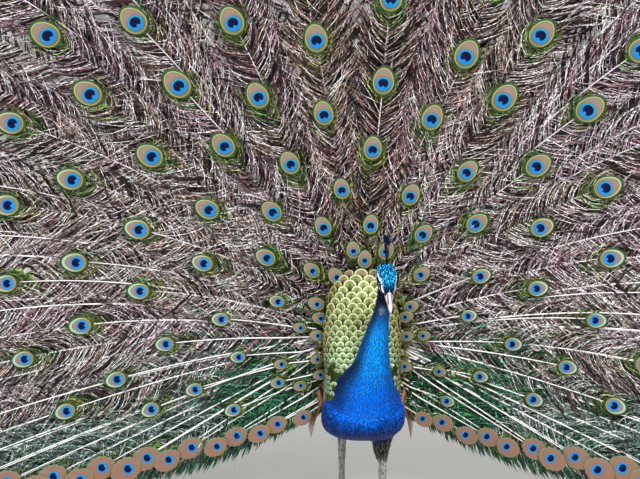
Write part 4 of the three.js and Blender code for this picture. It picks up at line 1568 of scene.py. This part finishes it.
halo = add(tree, "ShaderNodeMix", {
    0: (fray, "Fac"), "A": linear("#17361f"), "B": linear("#47592e")}, data_type="RGBA")
sideways, plain = (kinds, 1), (kinds, 2)
outward = add(tree, "ShaderNodeMapRange", {"Value": a, "From Min": -14.0, "From Max": 24.0})
thicker = add(tree, "ShaderNodeMath", {0: (outward, 0), 1: sideways}, operation="MULTIPLY")
taper = add(tree, "ShaderNodeMath", {0: a, 1: -0.0035, 2: 1.0}, operation="MULTIPLY_ADD")
b_out = add(tree, "ShaderNodeMath", {0: b, 1: (taper, 0)}, operation="DIVIDE")
ring_at = ellipse(tree, a, (b_out, 0), 6.4, 28.6, 22.4)
bronze_at = ellipse(tree, a, (b_out, 0), 6.0, 25.6, 19.6)
swollen = add(tree, "ShaderNodeMath", {0: (thicker, 0), 1: 0.19, 2: (bronze_at, 0)}, operation="MULTIPLY_ADD")
half_plain = add(tree, "ShaderNodeMath", {0: plain, 1: 0.5}, operation="MINIMUM")
smaller = add(tree, "ShaderNodeMath", {0: (half_plain, 0), 1: 0.68, 2: 1.0}, operation="MULTIPLY_ADD")
all_plain = add(tree, "ShaderNodeMath", {0: plain, 1: 0.75}, operation="GREATER_THAN")
blue_rim = ellipse(tree, a, b, 0.6, 15.0, 15.4)
blue_at = add(tree, "ShaderNodeMath", {0: (blue_rim, 0), 1: (smaller, 0)}, operation="MULTIPLY")
heart_rim = ellipse(tree, a, b, 1.6, 10.4, 10.8)
heart_at = add(tree, "ShaderNodeMath", {0: (heart_rim, 0), 1: (smaller, 0)}, operation="MULTIPLY")
notch_at = ellipse(tree, a, b, -8.6, 4.4, 3.4)

# The outer green line, then the pale ring inside it.
pale = shifting(tree, outward, "#a19c5e", "#a0ab74", "#97b8a0", (thicker, 0))
seen = painted_within(tree, ring_at, 1.06, 0.05, (halo, "Result"), "#3a5230")
seen = painted_within(tree, ring_at, 0.99, 0.03, (seen, "Result"), (pale, "Result"))

# The bronze disc. The plain feathers of the lower edge are brown all over.
seen = painted_within(tree, swollen, 1.05, 0.03, (seen, "Result"), "#6f6c44")
bronze = shifting(tree, outward, "#6c5c44", "#8a726a", "#936f6b", sideways)
seen = painted_within(tree, swollen, 0.98, 0.03, (seen, "Result"), (bronze, "Result"))
plain_tone = add(tree, "ShaderNodeMix", {
    0: (fray, "Fac"), "A": linear("#7c5d4e"), "B": linear("#94705f")}, data_type="RGBA")
plain_rim = painted_within(tree, ring_at, 1.0, 0.05, linear("#77735a"), (plain_tone, "Result"))
seen = add(tree, "ShaderNodeMix", {
    0: (all_plain, 0), "A": (seen, "Result"), "B": (plain_rim, "Result")}, data_type="RGBA")

# The bright blue, with a violet heart that is notched toward the feather's foot.
seen = painted_within(tree, blue_at, 1.06, 0.04, (seen, "Result"), "#246f6c")
blue = shifting(tree, outward, "#0678c8", "#0e98c6", "#0c86d8", sideways)
seen = painted_within(tree, blue_at, 0.97, 0.04, (seen, "Result"), (blue, "Result"))
heart_full = add(tree, "ShaderNodeMapRange", {
    "Value": (heart_at, 0), "From Min": 0.93, "From Max": 1.07, "To Min": 1.0, "To Max": 0.0},
    interpolation_type="SMOOTHSTEP")
notch = add(tree, "ShaderNodeMapRange", {
    "Value": (notch_at, 0), "From Min": 0.8, "From Max": 1.2, "To Min": 1.0, "To Max": 0.0},
    interpolation_type="SMOOTHSTEP")
heart = add(tree, "ShaderNodeMath", {0: (heart_full, 0), 1: (notch, 0)}, operation="SUBTRACT", use_clamp=True)
heart_tone = add(tree, "ShaderNodeMix", {
    0: (outward, 0), "A": linear("#0c0b40"), "B": linear("#020108")}, data_type="RGBA")
seen = add(tree, "ShaderNodeMix", {
    0: (heart, 0), "A": (seen, "Result"), "B": (heart_tone, "Result")}, data_type="RGBA")
seen = add(tree, "ShaderNodeMix", {
    0: (kinds, 0), "A": linear("#7d7264"), "B": (seen, "Result")}, data_type="RGBA")

# The barbules are too fine to draw. Wavy lines 0.2 mm apart stand for them and break up what
# highlight there is.
barb_lines = add(tree, "ShaderNodeTexWave", {
    "Vector": (middle, 0), "Scale": 1.6, "Distortion": 3.0, "Detail": 1.0})
relief = add(tree, "ShaderNodeBump", {"Height": (barb_lines, 0), "Strength": 0.25, "Distance": 0.0004})
surface = add(tree, "ShaderNodeBsdfPrincipled", {
    "Base Color": (seen, "Result"), "Roughness": 0.42, "Metallic": 0.1, "Specular IOR Level": 0.12,
    "Normal": (relief, 0)})
add(tree, "ShaderNodeOutputMaterial", {"Surface": (surface, "BSDF")})

# Bare white keratin like a fingernail: smooth, and light goes a millimetre or two into it.
shaft_finish, tree = new_material("bare_quill_keratin")
tint = add(tree, "ShaderNodeAttribute", attribute_name="tint")
surface = add(tree, "ShaderNodeBsdfPrincipled", {
    "Base Color": (tint, "Color"), "Roughness": 0.3, "Specular IOR Level": 0.6, "Subsurface Weight": 0.1,
    "Subsurface Radius": (0.002, 0.0015, 0.001)})
add(tree, "ShaderNodeOutputMaterial", {"Surface": (surface, "BSDF")})

ATLAS_CELLS = 14
CELL_MM = 84
face_table = disc_faces(EYE_SPOKES, len(EYE_RINGS))
eye_sets = {0: [], 1: []}
for (angle_deg, s_eye), scale in zip(feathers, eye_scales):
    is_edge = at_edge(angle_deg, s_eye)
    in_front = is_edge and abs(angle_deg) > float(fan_edge(s_eye)) - 0.6
    scale *= draw.uniform(0.95, 1.05) * (1.34 if is_edge else 1.0)
    forward = 0.010 + draw.uniform(0, 0.003) + 0.004 * in_front
    points, flat, front = eye_points(math.radians(angle_deg), s_eye, scale, forward)
    half = int(angle_deg > 0)
    cell = len(eye_sets[half])
    cell_at = np.array([cell % ATLAS_CELLS, cell // ATLAS_CELLS]) + 0.5
    bake = (cell_at + flat / CELL_MM * np.where(front, 1, 0.3)[:, None]) / ATLAS_CELLS
    turned_aside = ramp(abs(angle_deg), 45, 80) * ramp(s_eye, 0.06, 0.12)
    plainness = 1.0 if is_edge else 0.5 * ramp(s_eye, 0.10, 0.05)
    tint = np.stack([front, np.full(len(front), turned_aside), np.full(len(front), plainness)], -1)
    eye_sets[half].append((points, tint, bake, flat / MAP_MM + 0.5))
for half, title in ((0, "train_eyes_right"), (1, "train_eyes_left")):
    made, tints, bakes, vane_maps = (np.stack(column) for column in zip(*eye_sets[half]))
    faces = (face_table[None] + (np.arange(len(made)) * made.shape[1])[:, None, None]).reshape(-1, 3)
    piece = joined_mesh(title, made.reshape(-1, 3), faces, tints.reshape(-1, 3), bakes.reshape(-1, 2),
                        {"vane": vane_maps.reshape(-1, 2)})
    piece.data.materials.append(eye_finish)
    shaded_smooth(piece.data)
    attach(piece, "root")

# Short bronze-green feathers stand round the root of the train and hide where the long ones grow.
spots, ways = [], []
for k, s in enumerate((0.024, 0.013, 0.002, -0.009)):
    turn = np.radians(np.arange(-133 + 2.6 * (k % 2), 134, 5.2))
    spots.append(fan_place(turn, np.full(len(turn), s)) + FRONT * (0.002 + 0.005 * k))
    ways.append(np.stack([np.sin(turn), np.zeros(len(turn)), np.cos(turn)], -1))
spots, ways = np.concatenate(spots), np.concatenate(ways)
part = np.full(len(spots), RUMP)
yellow = draw.random(len(spots))
round_feathers(
    "train_root_feathers", spots, np.tile(FRONT, (len(spots), 1)), ways,
    0.0072 * draw.uniform(0.9, 1.1, len(spots)), stretch=1.4, lean=np.full(len(spots), 0.16),
    rim=mixed(yellow, "#8f9a5c", "#c3b878"), body=mixed(yellow, "#53633a", "#8a7440"),
    mark=mixed(yellow, "#2c3320", "#4a3c26"), bake_at=unwrapped(spots, part))

# Dense green barbs close the fan along its lower edge on both sides.
FRINGE_STEP = 0.0016
FRINGE_STATIONS = 5
FRINGE_WIDTHS = [0.0014, 0.0016, 0.0012]
FRINGE_FADE = np.array([1.2, 1.2, 1.0, 0.7, 0.4])
fringe_s = np.tile(np.arange(0.02, 0.98, FRINGE_STEP), 4)
fringe_side = np.repeat([-1.0, -1.0, 1.0, 1.0], len(fringe_s) // 4)
inset = draw.uniform(0, 0.4, len(fringe_s)) / (0.05 + fringe_s)
turn = np.radians(fan_edge(fringe_s) - inset) * fringe_side
outward_way = np.stack([np.sin(turn), np.zeros(len(turn)), np.cos(turn)], -1)
downward_way = np.stack([np.cos(turn), np.zeros(len(turn)), -np.sin(turn)], -1) * fringe_side[:, None]
start = fan_place(turn, fringe_s) + FRONT * draw.uniform(-0.003, 0.007, (len(turn), 1))
slant = np.radians(draw.normal(62, 8, len(turn)))[:, None, None]
steps = np.linspace(0, 1, FRINGE_STATIONS)[None, :, None]
slant = slant * (1 - 0.25 * steps)
reach = ((0.026 + 0.036 * ramp(fringe_s, 0, 0.3)) * draw.uniform(0.8, 1.15, len(turn)))[:, None, None]
hanging = outward_way[:, None] * np.cos(slant) + downward_way[:, None] * np.sin(slant)
lines = start[:, None] + reach * steps * hanging
tint = mixed(draw.random(len(turn)), "#0e3c28", "#37865e")[:, None] * FRINGE_FADE[None, :, None]
fledged("train_edge_fringe", lines, np.tile(-FRONT, (len(turn), 1)), np.tile(FRINGE_WIDTHS, (len(turn), 1)),
        0.0003, tint, np.stack([0.5 + np.degrees(turn) / MAP_TURN, fringe_s / MAP_REACH], -1),
        barb_finish)

# The shafts lie on the front of their barbs, thickest at the root.
shaft_parts = []
SHAFT_STATIONS = 18
SHAFT_STEPS = np.linspace(0, 1, SHAFT_STATIONS)
for angle_deg, s_eye, eye_scale, is_fishtail in everything:
    line = shaft_line(math.radians(angle_deg), s_eye, SHAFT_STEPS)[None]
    spans = unit(np.diff(line, axis=1))
    flat = unit(np.cross(spans, FRONT))
    thick = np.interp(SHAFT_STEPS[:-1], [0, 1], [0.0015 + 0.0008 * s_eye, 0.0009])[None, :, None]
    seen = ramp(abs(angle_deg), 58, 92)
    front = FRONT * (0.0050 * seen + 0.0016 + draw.normal(0, 0.0022))
    at_root = ramp(SHAFT_STEPS[:-1] * s_eye, 0.45, 0.25) * (1 - seen)
    front = front - FRONT * (0.008 * at_root)[None, :, None]
    line = line + np.pad(front, ((0, 0), (0, 1), (0, 0)), "edge")
    made, faces, each = prisms(line, flat * thick, -FRONT * thick * 1.5)
    white = mixed(np.array([seen]), "#e6dce4", "#ffffff")[0] * draw.uniform(0.9, 1.0)
    colour = np.repeat(white[None], each, 0)
    last = SHAFT_STATIONS - 1
    stations = np.concatenate([np.repeat(np.arange(last), 3), [last]]) / last
    bake = np.stack([0.5 + angle_deg / MAP_TURN + BAKE_PATCH * np.resize([0, 1, 0.5], each),
                     stations * s_eye / MAP_REACH], -1)
    shaft_parts.append((made.reshape(-1, 3), faces, colour, bake))
shafts = gathered("train_shafts", shaft_parts, shaft_finish)
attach(shafts, "root")
